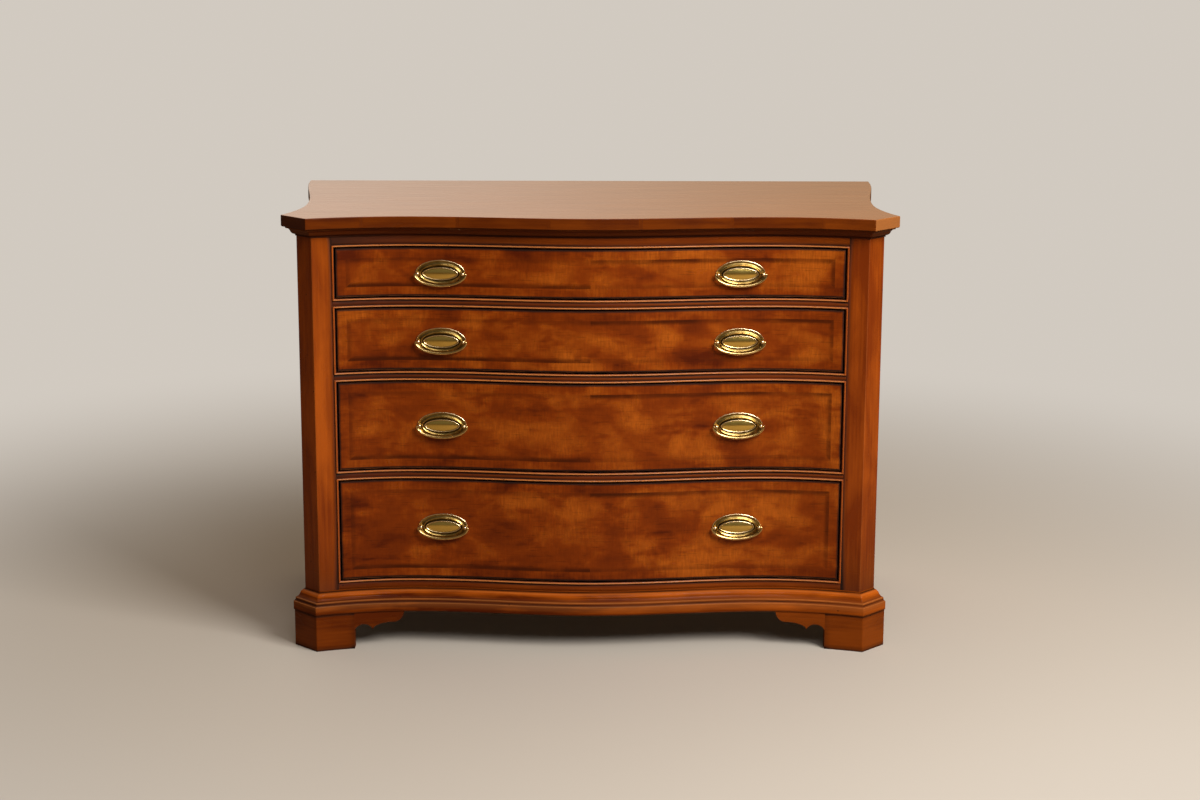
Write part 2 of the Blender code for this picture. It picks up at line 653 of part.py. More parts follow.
def plate_mesh(brass):
    """Oval plate with a rim, a raised ring and a domed boss, and two drilled posts."""
    ring_width = (BOSS_HALF_WIDTH + POST_HALF) / 2
    ring_height = BOSS_HALF_HEIGHT + ring_width - BOSS_HALF_WIDTH
    rim = PLATE_RIM_WIDTH
    rings = [
        oval(PLATE_HALF_WIDTH, PLATE_HALF_HEIGHT, 0),
        oval(PLATE_HALF_WIDTH - rim / 4, PLATE_HALF_HEIGHT - rim / 4, PLATE_RIM),
        oval(PLATE_HALF_WIDTH - rim, PLATE_HALF_HEIGHT - rim, PLATE_RIM),
        oval(PLATE_HALF_WIDTH - 2 * rim, PLATE_HALF_HEIGHT - 2 * rim, PLATE_HOLLOW),
        oval(ring_width, ring_height, PLATE_RING),
        oval(BOSS_HALF_WIDTH, BOSS_HALF_HEIGHT, PLATE_HOLLOW),
        oval(BOSS_HALF_WIDTH - rim / 2, BOSS_HALF_HEIGHT - rim / 2, PLATE_RING),
        oval(BOSS_HALF_WIDTH / 2, BOSS_HALF_HEIGHT / 2, BOSS_HEIGHT),
    ]
    plate = place("plate_shape", skin("plate_shape", rings, smooth=True), brass)
    for side in (-1, 1):
        levels = (
            (POST_NECK, PLATE_HOLLOW / 2),
            (POST_NECK, AXIS_STANDOFF - POST_RADIUS),
            (POST_RADIUS, AXIS_STANDOFF - POST_NECK),
            (POST_RADIUS, AXIS_STANDOFF + POST_NECK),
            (POST_RADIUS / 2, POST_HEIGHT),
        )
        post = [disc(radius, PIN_FACETS, across_post(side, out)) for radius, out in levels]
        combine(plate, place(f"post_{side}", skin(f"post_{side}", post), brass), "UNION")
        bore = PIN_RADIUS + PIN_CLEARANCE
        ends = (POST_HALF - 2 * POST_RADIUS, POST_HALF + 2 * POST_RADIUS)
        drill = [disc(bore, PIN_FACETS, across_bore(side * end)) for end in ends]
        combine(plate, place(f"drill_{side}", skin(f"drill_{side}", drill), brass), "DIFFERENCE")
    plate.hide_render = True
    plate.display_type = "WIRE"
    return bpy.data.meshes.new_from_object(plate.evaluated_get(bpy.context.evaluated_depsgraph_get()))


def across_post(side, out):
    return lambda a, b: (side * POST_HALF + a, -out, b)


def across_bore(x):
    return lambda a, b: (x, a - AXIS_STANDOFF, b)


def disc(radius, sides, point):
    """A ring of points, each placed by a function of its two distances from the middle."""
    angles = [2 * math.pi * (k + 0.5) / sides for k in range(sides)]
    return [point(radius * math.cos(a), radius * math.sin(a)) for a in angles]


def bail_mesh():
    """Bail hung on its hinge axis: a pin in each post, an elbow, and a swelling half oval between."""
    elbow = BAIL_LEG - POST_HALF - POST_RADIUS
    half = [
        (POST_HALF - POST_RADIUS, 0, PIN_RADIUS),
        (POST_HALF + POST_RADIUS, 0, PIN_RADIUS),
        (BAIL_LEG - elbow / 4, -elbow / 3, PIN_RADIUS),
        (BAIL_LEG, -BAIL_DROP / 8, BAIL_END_RADIUS),
    ]
    for angle in spread(0, math.pi / 2, BAIL_STEPS // 2)[1:]:
        fullness = math.sin(angle)
        radius = BAIL_END_RADIUS + (BAIL_RADIUS - BAIL_END_RADIUS) * fullness
        half.append((BAIL_LEG * math.cos(angle), -BAIL_DROP * math.sin(angle), radius))
    path = half + [(-x, z, radius) for x, z, radius in reversed(half[:-1])]
    rings = []
    for k, (x, z, radius) in enumerate(path):
        ahead = path[min(k + 1, len(path) - 1)]
        behind = path[max(k - 1, 0)]
        heading = Vector((ahead[0] - behind[0], 0, ahead[1] - behind[1])).normalized()
        across = Vector((-heading.z, 0, heading.x))
        centre = Vector((x, 0, z))
        rings.append(disc(radius, BAIL_FACETS, lambda a, b: centre + across * a + Vector((0, b, 0))))
    return skin("bail", rings, smooth=True)


def drawer_openings():
    """(low, high) of each opening, top drawer first."""
    openings = []
    high = CARCASS_TOP - TOP_RAIL_HEIGHT
    for height in DRAWER_HEIGHTS:
        low = high - height - 2 * DRAWER_GAP
        openings.append((low, high))
        high = low - RAIL_HEIGHT
    return openings


def main():
    for old in list(bpy.data.objects):
        bpy.data.objects.remove(old)
    solid = finish("polished_wood", (0.26, 0.075, 0.014), 0.32)
    veneer = finish("figured_veneer", (0.30, 0.085, 0.012), 0.30)
    box_wood = finish("drawer_wood", (0.52, 0.36, 0.20), 0.60)
    panel_wood = finish("panel_wood", (0.42, 0.28, 0.15), 0.65)
    brass = finish("brass", (0.60, 0.43, 0.15), 0.25, 1.0)

    openings = drawer_openings()
    make_top(solid)
    make_bed_moulding(solid)
    make_base(solid)
    for label, side in (("left", -1), ("right", 1)):
        make_stile(f"{label}_stile", side, openings, solid)
        make_side_panel(f"{label}_side_panel", side, veneer)
        make_front_foot(f"front_{label}_foot", side, solid)
        make_rear_foot(f"rear_{label}_foot", side, solid)
    make_rear(panel_wood, box_wood)

    top_opening = openings[0][1]
    make_rail("top_rail", top_opening, CARCASS_TOP - SEAT, [top_opening], solid)
    for number, (low, high) in enumerate(openings, 1):
        if number < len(openings):
            beads = [low - RAIL_HEIGHT, low - BEAD_WIDTH]
            make_rail(f"rail_{number}", low - RAIL_HEIGHT, low, beads, solid)
        else:
            make_rail("bottom_rail", BASE_TOP + SEAT, low, [low - BEAD_WIDTH], solid)
        make_dust_board(f"dust_board_{number}", low, panel_wood)

    pull_meshes = plate_mesh(brass), bail_mesh()
    for number, ((low, _), height) in enumerate(zip(openings, DRAWER_HEIGHTS), 1):
        make_drawer(number, low, height, veneer, box_wood, panel_wood, brass, pull_meshes)


main()
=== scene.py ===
import json
import math

import bmesh
import bpy
import numpy as np
from mathutils import Matrix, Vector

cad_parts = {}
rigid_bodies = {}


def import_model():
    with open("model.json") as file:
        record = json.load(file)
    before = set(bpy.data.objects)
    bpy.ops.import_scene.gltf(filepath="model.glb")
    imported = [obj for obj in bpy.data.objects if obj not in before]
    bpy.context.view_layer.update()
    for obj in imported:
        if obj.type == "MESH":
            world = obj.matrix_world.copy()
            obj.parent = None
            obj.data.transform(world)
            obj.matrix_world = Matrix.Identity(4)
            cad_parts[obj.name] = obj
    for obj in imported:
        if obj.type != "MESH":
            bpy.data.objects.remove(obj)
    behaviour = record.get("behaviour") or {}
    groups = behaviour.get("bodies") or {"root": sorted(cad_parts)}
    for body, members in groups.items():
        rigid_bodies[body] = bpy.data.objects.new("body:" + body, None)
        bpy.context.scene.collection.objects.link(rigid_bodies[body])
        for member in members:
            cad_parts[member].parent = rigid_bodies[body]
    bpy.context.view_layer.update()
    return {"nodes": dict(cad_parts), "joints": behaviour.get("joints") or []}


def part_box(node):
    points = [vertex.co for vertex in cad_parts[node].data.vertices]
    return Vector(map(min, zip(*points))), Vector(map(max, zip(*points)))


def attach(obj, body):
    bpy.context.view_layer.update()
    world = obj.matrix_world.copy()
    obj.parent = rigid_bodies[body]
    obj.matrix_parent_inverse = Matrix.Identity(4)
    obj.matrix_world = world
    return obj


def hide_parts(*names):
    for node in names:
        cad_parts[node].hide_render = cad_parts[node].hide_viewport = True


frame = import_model()

# plan of the chest: depths run back from the front corners of the top, arris eases the canted corners
plan = dict(
    frontCorner=0.525, cant=0.0515, cantShare=0.97, arris=0.0012,
    waistDraw=0.032, waistDepth=0.200, backSwell=0.0015,
    hollowHalf=0.335, hollowDepth=0.034, bowDepth=0.005,
    carcassInset=0.0245, baseInset=0.004, footInset=0.0055, openingInset=0.0467,
)
# points along each stretch, rounds that close in on a canted corner, and the distances that weld a mesh
fineness = dict(
    front=72, arc=6, cant=6, side=56, back=3, rail=161, upright=12, face=201, panel=60,
    rounds=30, weld=4e-6, sliver=2e-6,
)

topLow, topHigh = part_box("top_board")
frontY = topLow.y
fullDepth = topHigh.y - topLow.y
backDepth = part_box("base_moulding")[1].y - frontY
openingHalf = plan["frontCorner"] - plan["openingInset"]
carcassFace = plan["carcassInset"]
drawers = (1, 2, 3, 4)


def frontDepth(x):
    # serpentine front: a cosine bow between the two hollows, a parabola from each hollow to its corner
    x = np.abs(x)
    swing = plan["hollowDepth"] - plan["bowDepth"]
    bow = plan["bowDepth"] + swing * (1 - np.cos(np.pi * x / plan["hollowHalf"])) / 2
    run = (x - plan["hollowHalf"]) / (plan["frontCorner"] - plan["hollowHalf"])
    return np.where(x < plan["hollowHalf"], bow, plan["hollowDepth"] * (1 - run ** 2))


def sideHalf(depth):
    # ogee side: a parabola in to the waist, then half a cosine wave out to the back
    corner = plan["frontCorner"] + plan["cant"]
    waist = corner - plan["waistDraw"]
    lead = (plan["waistDepth"] - depth) / (plan["waistDepth"] - plan["cant"])
    swell = (1 - np.cos(np.pi * (depth - plan["waistDepth"]) / (fullDepth - plan["waistDepth"]))) / 2
    rear = waist + (plan["waistDraw"] + plan["backSwell"]) * swell
    return np.where(depth < plan["waistDepth"], waist + plan["waistDraw"] * lead ** 2, rear)


def cornerPoints(inset):
    # the canted line x - depth = constant, crossed with the front and with the side by closing in on each
    cantLine = plan["frontCorner"] - plan["cantShare"] * inset * math.sqrt(2)
    x, depth = plan["frontCorner"], plan["cant"]
    for _ in range(fineness["rounds"]):
        x = cantLine + float(frontDepth(x)) + inset
        depth = float(sideHalf(depth)) - inset - cantLine
    return np.array([x, x - cantLine]), np.array([depth + cantLine, depth])


def bend(start, corner, end):
    # quadratic curve that eases a corner
    t = np.linspace(0, 1, fineness["arc"])[:, None]
    return (1 - t) ** 2 * start + 2 * t * (1 - t) * corner + t ** 2 * end


def frontLine(x, inset):
    # plan points (x, depth) on the serpentine front
    return np.stack([x, frontDepth(x) + inset], 1)


def sideLine(depth, inset):
    # plan points (x, depth) on the ogee side
    return np.stack([sideHalf(depth) - inset, depth], 1)


def halfPath(inset, back, ease=plan["arris"], startX=0.0):
    # right half of the plan, from startX round the canted corner to a depth, with each point's stretch:
    # 0 on the front, 1 on the cant, 2 on the side
    first, second = cornerPoints(inset)
    front = frontLine(np.linspace(startX, first[0] - ease, fineness["front"]), inset)
    side = sideLine(np.linspace(second[1] + ease, back, fineness["side"]), inset)
    along = np.array([1, 1]) * ease / math.sqrt(2)
    firstArc = bend(front[-1], first, first + along)
    secondArc = bend(second - along, second, side[0])
    cant = np.linspace(firstArc[-1], secondArc[0], fineness["cant"])[1:-1]
    path = np.concatenate([front, firstArc[1:], cant, secondArc, side[1:]])
    frontCount = len(front) + fineness["arc"] // 2
    cantCount = fineness["arc"] + len(cant)
    sideCount = len(path) - frontCount - cantCount
    return path, np.repeat([0.0, 1.0, 2.0], [frontCount, cantCount, sideCount])


def planPath(inset, back, ease=plan["arris"], closed=False):
    # whole plan from back left round the front to back right, and along the back (stretch 3) if it is closed
    path, run = halfPath(inset, back, ease)
    path = np.concatenate([path[:0:-1] * (-1, 1), path])
    run = np.concatenate([-run[:0:-1], run])
    if closed:
        rear = np.linspace(path[-1], path[0], fineness["back"])[1:]
        path, run = np.concatenate([path, rear]), np.append(run, np.full(len(rear), 3.0))
    return path, run


def lengths(points):
    # running length along a line of points
    steps = np.linalg.norm(np.diff(points, axis=0), axis=1)
    return np.concatenate([[0.0], np.cumsum(steps)])


def spread(*parts):
    # rows and columns spread over one another into one grid of points, coordinates or toning
    return np.stack(np.broadcast_arrays(*parts), -1)


def place3(path, z):
    # plan points (x, depth) at a height, or carried up through a column of heights
    return spread(path[:, 0], path[:, 1] + frontY, z)


def onFront(x, inset, z):
    # points on the serpentine front at an inset
    return spread(x, frontDepth(x) + inset + frontY, z)


def toning(points, glazeAndShade=0.0, wearAndHighlight=0.0, shade=0.0):
    # dark glaze and painted shade, pale wear and painted highlights, and board shade with painted light, over
    # a grid of points
    return spread(points[..., 0], glazeAndShade, wearAndHighlight, shade)[..., 1:]


def patch(points, uv=None, tone=(0.0, 0.0, 0.0)):
    # a grid of points with its grain coordinates (along, across) and its toning
    if uv is None:
        uv = spread(lengths(points[0]), lengths(points[:, 0])[:, None])
    return points, uv, np.broadcast_to(tone, points.shape)


def flatCap(ring, axes=(0, 1), tone=(0.0, 0.0, 0.0)):
    # an end face whose grain coordinates are two of its own axes
    return ring, ring[:, list(axes)], np.broadcast_to(tone, ring.shape)


def profileArc(start, end, acrossFirst, count=10, fullness=1.0):
    # quarter ellipse between two profile points, without its start, nearer its chord as fullness falls
    share = np.linspace(0, 1, count + 1)[1:]
    fast, slow = np.sin(share * np.pi / 2), 1 - np.cos(share * np.pi / 2)
    a, b = (fast, slow) if acrossFirst else (slow, fast)
    a, b = (fullness * c + (1 - fullness) * share for c in (a, b))
    return np.stack([start[0] + (end[0] - start[0]) * a, start[1] + (end[1] - start[1]) * b], 1)


def ogee(start, end, counts, fullness):
    # two quarter ellipses that meet halfway, a hollow and then a round
    turn = ((start[0] + end[0]) / 2, (start[1] + end[1]) / 2)
    hollow = profileArc(start, turn, True, counts[0], fullness)
    return hollow, profileArc(turn, end, False, counts[1], fullness)


def addObject(name, data):
    thing = bpy.data.objects.new(name, data)
    bpy.context.scene.collection.objects.link(thing)
    return thing


def makePiece(name, patches, material, caps=(), body="carcass", replaces=(),
              attribute="toning", sharp=32):
    # welds patches and end caps into one closed mesh whose grain UV and toning stay on its face corners
    faces, start = [], 0
    for grid, _, _ in patches:
        index = start + np.arange(grid[..., 0].size).reshape(grid.shape[:2])
        quads = np.stack([index[:-1, :-1], index[:-1, 1:], index[1:, 1:], index[1:, :-1]], -1)
        faces += quads.reshape(-1, 4).tolist()
        start += index.size
    for ring, _, _ in caps:
        faces.append(list(range(start, start + len(ring))))
        start += len(ring)
    points, uvs, tones = (
        np.concatenate([values.reshape(-1, values.shape[-1]) for values in kind])
        for kind in zip(*patches, *caps)
    )
    mesh = bpy.data.meshes.new(name)
    mesh.from_pydata(points, [], faces)
    corner = np.empty(len(mesh.loops), np.int32)
    mesh.loops.foreach_get("vertex_index", corner)
    mesh.uv_layers.new(name="grain").data.foreach_set("uv", uvs[corner].ravel())
    layer = mesh.attributes.new(attribute, "FLOAT_VECTOR", "CORNER")
    layer.data.foreach_set("vector", tones[corner].ravel())
    work = bmesh.new()
    work.from_mesh(mesh)
    bmesh.ops.remove_doubles(work, verts=work.verts, dist=fineness["weld"])
    bmesh.ops.dissolve_degenerate(work, edges=work.edges, dist=fineness["sliver"])
    bmesh.ops.recalc_face_normals(work, faces=work.faces)
    work.to_mesh(mesh)
    work.free()
    mesh.shade_smooth()
    mesh.set_sharp_from_angle(angle=math.radians(sharp))
    mesh.materials.append(material)
    piece = addObject(name, mesh)
    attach(piece, body)
    if replaces:
        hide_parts(*replaces)
    return piece


def put(tree, kind, inputs=None, **settings):
    # a node with its settings, its inputs linked to sockets or set to values
    node = tree.nodes.new(kind)
    for key, value in settings.items():
        setattr(node, key, value)
    for key, value in (inputs or {}).items():
        socket = node.inputs[key]
        if isinstance(value, bpy.types.NodeSocket):
            tree.links.new(value, socket)
        else:
            socket.default_value = (*value, 1.0) if socket.type == "RGBA" else value
    return node


def math2(tree, operation, a, b=0.0, clamp=False):
    return put(tree, "ShaderNodeMath", {0: a, 1: b}, operation=operation, use_clamp=clamp).outputs[0]


def add(tree, a, b, clamp=False):
    return math2(tree, "ADD", a, b, clamp)


def take(tree, a, b, clamp=False):
    return math2(tree, "SUBTRACT", a, b, clamp)


def times(tree, a, b):
    return math2(tree, "MULTIPLY", a, b)


def larger(tree, a, b):
    return math2(tree, "MAXIMUM", a, b)


def blend(tree, a, shareA, b, shareB):
    return add(tree, times(tree, a, shareA), times(tree, b, shareB))


def smooth(tree, value, low, high, toLow=0.0, toHigh=1.0):
    inputs = {"Value": value, "From Min": low, "From Max": high, "To Min": toLow, "To Max": toHigh}
    return put(tree, "ShaderNodeMapRange", inputs, interpolation_type="SMOOTHSTEP").outputs[0]


def mixColour(tree, factor, a, b, kind="MIX"):
    return put(tree, "ShaderNodeMix", {0: factor, 6: a, 7: b}, data_type="RGBA", blend_type=kind).outputs[2]


def combine(tree, x, y, z=0.0):
    return put(tree, "ShaderNodeCombineXYZ", {0: x, 1: y, 2: z}).outputs[0]


def noise(tree, place, scale, seed, detail=3.0, rough=0.5, twist=0.0):
    # noise on a place drawn out by a scale for each axis
    drawn = put(tree, "ShaderNodeVectorMath", {0: place, 1: scale}, operation="MULTIPLY").outputs[0]
    inputs = {"Vector": drawn, "W": seed, "Scale": 1.0}
    inputs.update({"Detail": detail, "Roughness": rough, "Distortion": twist})
    return put(tree, "ShaderNodeTexNoise", inputs, noise_dimensions="4D").outputs[0]


def newGroup(name, place, masks):
    # a node group that turns a place and a seed into masks
    group = bpy.data.node_groups.new(name, "ShaderNodeTree")
    group.interface.new_socket(place, in_out="INPUT", socket_type="NodeSocketVector")
    group.interface.new_socket("Seed", in_out="INPUT", socket_type="NodeSocketFloat")
    for mask in masks:
        group.interface.new_socket(mask, in_out="OUTPUT", socket_type="NodeSocketFloat")
    given = put(group, "NodeGroupInput").outputs
    return group, given[place], given["Seed"], put(group, "NodeGroupOutput").inputs


# timber: how finely each mark lies along and across the grain, and the size of the specks
timber = dict(
    streak=(5, 190, 190), cloud=(7, 26, 26), pore=(70, 1500, 1500),
    speckScale=9.0, speckEdge=0.015, speckCore=0.008,
)


def makeGrainGroup():
    # timber: streaks and clouds drawn out along the grain, short dark pores, and a speck here and there
    group, along, seed, made = newGroup("timberGrain", "Along", ("Streak", "Cloud", "Pore", "Speck"))
    streak = noise(group, along, timber["streak"], seed, 4.0, 0.6)
    cloud = noise(group, along, timber["cloud"], seed, 3.0, twist=0.6)
    pore = noise(group, along, timber["pore"], seed, 2.0)
    inputs = {"Vector": along, "Scale": timber["speckScale"]}
    spots = put(group, "ShaderNodeTexVoronoi", inputs, voronoi_dimensions="2D").outputs["Distance"]
    group.links.new(smooth(group, streak, 0.3, 0.7), made["Streak"])
    group.links.new(smooth(group, cloud, 0.3, 0.7), made["Cloud"])
    group.links.new(smooth(group, pore, 0.62, 0.75), made["Pore"])
    group.links.new(smooth(group, spots, timber["speckEdge"], timber["speckCore"]), made["Speck"])
    return group


# veneer: how finely each mark lies, and how much it lifts or dims the ground
mottle = dict(
    fineScale=(70, 95, 70), cloudScale=(11, 15, 11), driftScale=(6, 19, 6), smudgeScale=(17, 46, 17),
    curlScale=(330, 52, 52), hairScale=(24, 520, 520),
    ground=0.43, pale=0.68, dim=0.46, flicker=0.28, smudge=0.24,
)


def makeMottleGroup():
    # brushed veneer: pale clouds and dim drifts over an even ground, upright curl, hairs along the grain
    group, place, seed, made = newGroup("mottledVeneer", "Place", ("Blotch", "Curl", "Hair"))
    fine = noise(group, place, mottle["fineScale"], seed, 3.0, 0.6, 0.4)
    cloud = noise(group, place, mottle["cloudScale"], seed, 3.5, 0.56, 0.5)
    drift = noise(group, place, mottle["driftScale"], add(group, seed, 9.0), 2.5, 0.5, 0.4)
    smudge = noise(group, place, mottle["smudgeScale"], add(group, seed, 4.0), 2.0, 0.5, 0.3)
    curl = noise(group, place, mottle["curlScale"], seed, 2.0)
    hair = noise(group, place, mottle["hairScale"], seed, 2.0, 0.55, 0.3)
    flicker = times(group, take(group, fine, 0.5), mottle["flicker"])
    flicker = take(group, flicker, smooth(group, smudge, 0.43, 0.28, 0.0, mottle["smudge"]))
    blotch = add(group, mottle["ground"], times(group, smooth(group, cloud, 0.33, 0.75), mottle["pale"]))
    blotch = take(group, blotch, times(group, smooth(group, drift, 0.58, 0.26), mottle["dim"]))
    strokes = times(group, take(group, curl, 0.5), smooth(group, cloud, 0.42, 0.62, 0.35, 1.0))
    group.links.new(add(group, blotch, flicker), made["Blotch"])
    group.links.new(strokes, made["Curl"])
    group.links.new(smooth(group, hair, 0.56, 0.72), made["Hair"])
    return group


timberGrain = makeGrainGroup()
mottledVeneer = makeMottleGroup()


def newMaterial(name, roughness, specular):
    material = bpy.data.materials.new(name)
    material.use_nodes = True
    tree = material.node_tree
    shader = tree.nodes["Principled BSDF"]
    shader.inputs["Roughness"].default_value = roughness
    shader.inputs["Specular IOR Level"].default_value = specular
    return material, tree, shader


def useGroup(tree, group, **inputs):
    return put(tree, "ShaderNodeGroup", inputs, node_tree=group).outputs


def readGrain(tree):
    return put(tree, "ShaderNodeUVMap", uv_map="grain").outputs[0]


def readMarks(tree, name="toning"):
    # the three values that makePiece leaves on the face corners
    marks = put(tree, "ShaderNodeAttribute", attribute_name=name).outputs["Vector"]
    return put(tree, "ShaderNodeSeparateXYZ", {0: marks}).outputs


def objectPlace(tree):
    return put(tree, "ShaderNodeTexCoord").outputs["Object"]


def connect(tree, shader, colour, rough, height, strength, depth=0.0002):
    bump = put(tree, "ShaderNodeBump", {"Height": height, "Strength": strength, "Distance": depth})
    tree.links.new(colour, shader.inputs["Base Color"])
    tree.links.new(rough, shader.inputs["Roughness"])
    tree.links.new(bump.outputs[0], shader.inputs["Normal"])


def varied(tree, mask, base, more, less):
    # a roughness that runs from base + more down to base - less as a mask rises
    return smooth(tree, mask, 0, 1, base + more, base - less)


# the pale colour is for wear and painted highlights, the glaze colour for glaze and painted shade
woodLook = dict(
    light=(0.330, 0.066, 0.0046), dark=(0.145, 0.0215, 0.0015),
    glazeAndShade=(0.011, 0.0032, 0.0012), wornAndLit=(0.64, 0.26, 0.075),
    roughness=0.24, matt=0.7, pore=0.35, wearAndHighlight=0.8, speck=0.8,
)
mouldingLook = dict(woodLook, light=(0.44, 0.090, 0.0058), dark=(0.090, 0.0120, 0.0009), roughness=0.15)


def makePolishedWood(name, seed, lift=1.0, gloss=0.22, look=woodLook):
    # straight timber under a glaze: grain colour with board shade and painted light, then pale worn arrises
    # with painted highlights, dark glaze and painted shade in hollows, gaps and creases, and specks
    material, tree, shader = newMaterial(name, look["roughness"], gloss)
    glazeAndShade, wearAndHighlight, shade = readMarks(tree)
    figure = useGroup(tree, timberGrain, Along=readGrain(tree), Seed=seed)
    light, dark = (tuple(c * lift for c in look[key]) for key in ("light", "dark"))
    share = blend(tree, figure["Streak"], 0.35, figure["Cloud"], 0.65)
    colour = mixColour(tree, add(tree, share, shade, clamp=True), dark, light)
    colour = mixColour(tree, times(tree, figure["Pore"], look["pore"]), colour, dark)
    colour = mixColour(tree, times(tree, wearAndHighlight, look["wearAndHighlight"]), colour, look["wornAndLit"])
    smudge = times(tree, glazeAndShade, smooth(tree, figure["Cloud"], -0.6, 0.8))
    colour = mixColour(tree, add(tree, smudge, 0.0, clamp=True), colour, look["glazeAndShade"])
    colour = mixColour(tree, times(tree, figure["Speck"], look["speck"]), colour, look["glazeAndShade"])
    rough = varied(tree, figure["Cloud"], look["roughness"], 0.05, 0.04)
    rough = larger(tree, rough, smooth(tree, glazeAndShade, 0.1, 0.7, 0.0, look["matt"]))
    connect(tree, shader, colour, rough, figure["Streak"], 0.05)
    return material


polishedWood = makePolishedWood("polishedWood", 1.3)
postWood = makePolishedWood("postWood", 4.1, 1.35)
# beads: a brighter copy of the wood whose pale crests stand partly for painted highlights
beadWood = makePolishedWood("beadWood", 7.7, 1.6, 0.5)
footWood = makePolishedWood("footWood", 11.9, 0.74, 0.14)
mouldingWood = makePolishedWood("mouldingWood", 17.2, 1.03, 0.07, mouldingLook)
edgeWood = makePolishedWood("edgeWood", 19.6, 0.58)
# bed moulding: a darker copy of the wood, painted shade under the overhanging top
shadedBedWood = makePolishedWood("shadedBedWood", 21.3, 0.62, 0.14)

topLook = dict(
    light=(0.40, 0.112, 0.014), dark=(0.30, 0.078, 0.009), pore=0.25,
    roughness=0.28, specular=0.5, coat=0.82, coatRoughness=0.22,
)


def makeTopWood():
    # the polished top: quiet grain along its length under a clear coat
    material, tree, shader = newMaterial("topWood", topLook["roughness"], topLook["specular"])
    shader.inputs["Coat Weight"].default_value = topLook["coat"]
    shader.inputs["Coat Roughness"].default_value = topLook["coatRoughness"]
    figure = useGroup(tree, timberGrain, Along=readGrain(tree), Seed=23.0)
    share = blend(tree, figure["Streak"], 0.5, figure["Cloud"], 0.5)
    colour = mixColour(tree, share, topLook["dark"], topLook["light"])
    colour = mixColour(tree, times(tree, figure["Pore"], topLook["pore"]), colour, topLook["dark"])
    rough = varied(tree, figure["Streak"], topLook["roughness"], 0.04, 0.04)
    connect(tree, shader, colour, rough, figure["Streak"], 0.08)
    return material


topWood = makeTopWood()

# drawer veneer: a range is (from, to, value at from, value at to)
veneerLook = dict(
    light=(0.392, 0.0862, 0.0060), middle=(0.220, 0.0342, 0.0017), dark=(0.093, 0.0107, 0.0008),
    shade=(0.052, 0.0075, 0.0009), glazeAndShade=(0.010, 0.0030, 0.0011),
    roughness=0.29, matt=0.7, specular=0.18, seedStep=911.0, curl=0.9, hair=0.34, uneven=0.0020,
    band=0.0185, seamOut=0.001, seamIn=0.0005, bandPieces=(0.35, 0.65, -0.08, 0.06),
    endLift=0.06, grainLift=0.16, lowLeftLift=0.12,
    toRight=(-0.08, 0.26, 0.01, 0.11), nearEdge=(0.004, 0.032, 0.11, 0.0),
    nearFoot=(0.0, 0.05, 0.05, 0.0), onTall=(0.13, 0.19, 0.0, 0.06),
    lineSoft=(0.0032, 0.0112, 1.0, 0.0), lineCrisp=(-0.0008, 0.0006), lineFade=(0.30, 0.60, 0.35, 1.0),
    lineLong=0.88, lineMissed=0.58, lineEnd=0.42, lineRight=0.30,
    # rim, rimTop and rimFoot: painted shade in the gaps round the face, under the bead above and over the
    # bead below
    rim=(0.0012, 0.006, 0.95, 0.0), rimTop=(0.0010, 0.0042, 0.90, 0.0), rimFoot=(0.0022, 0.0050, 0.97, 0.0),
)


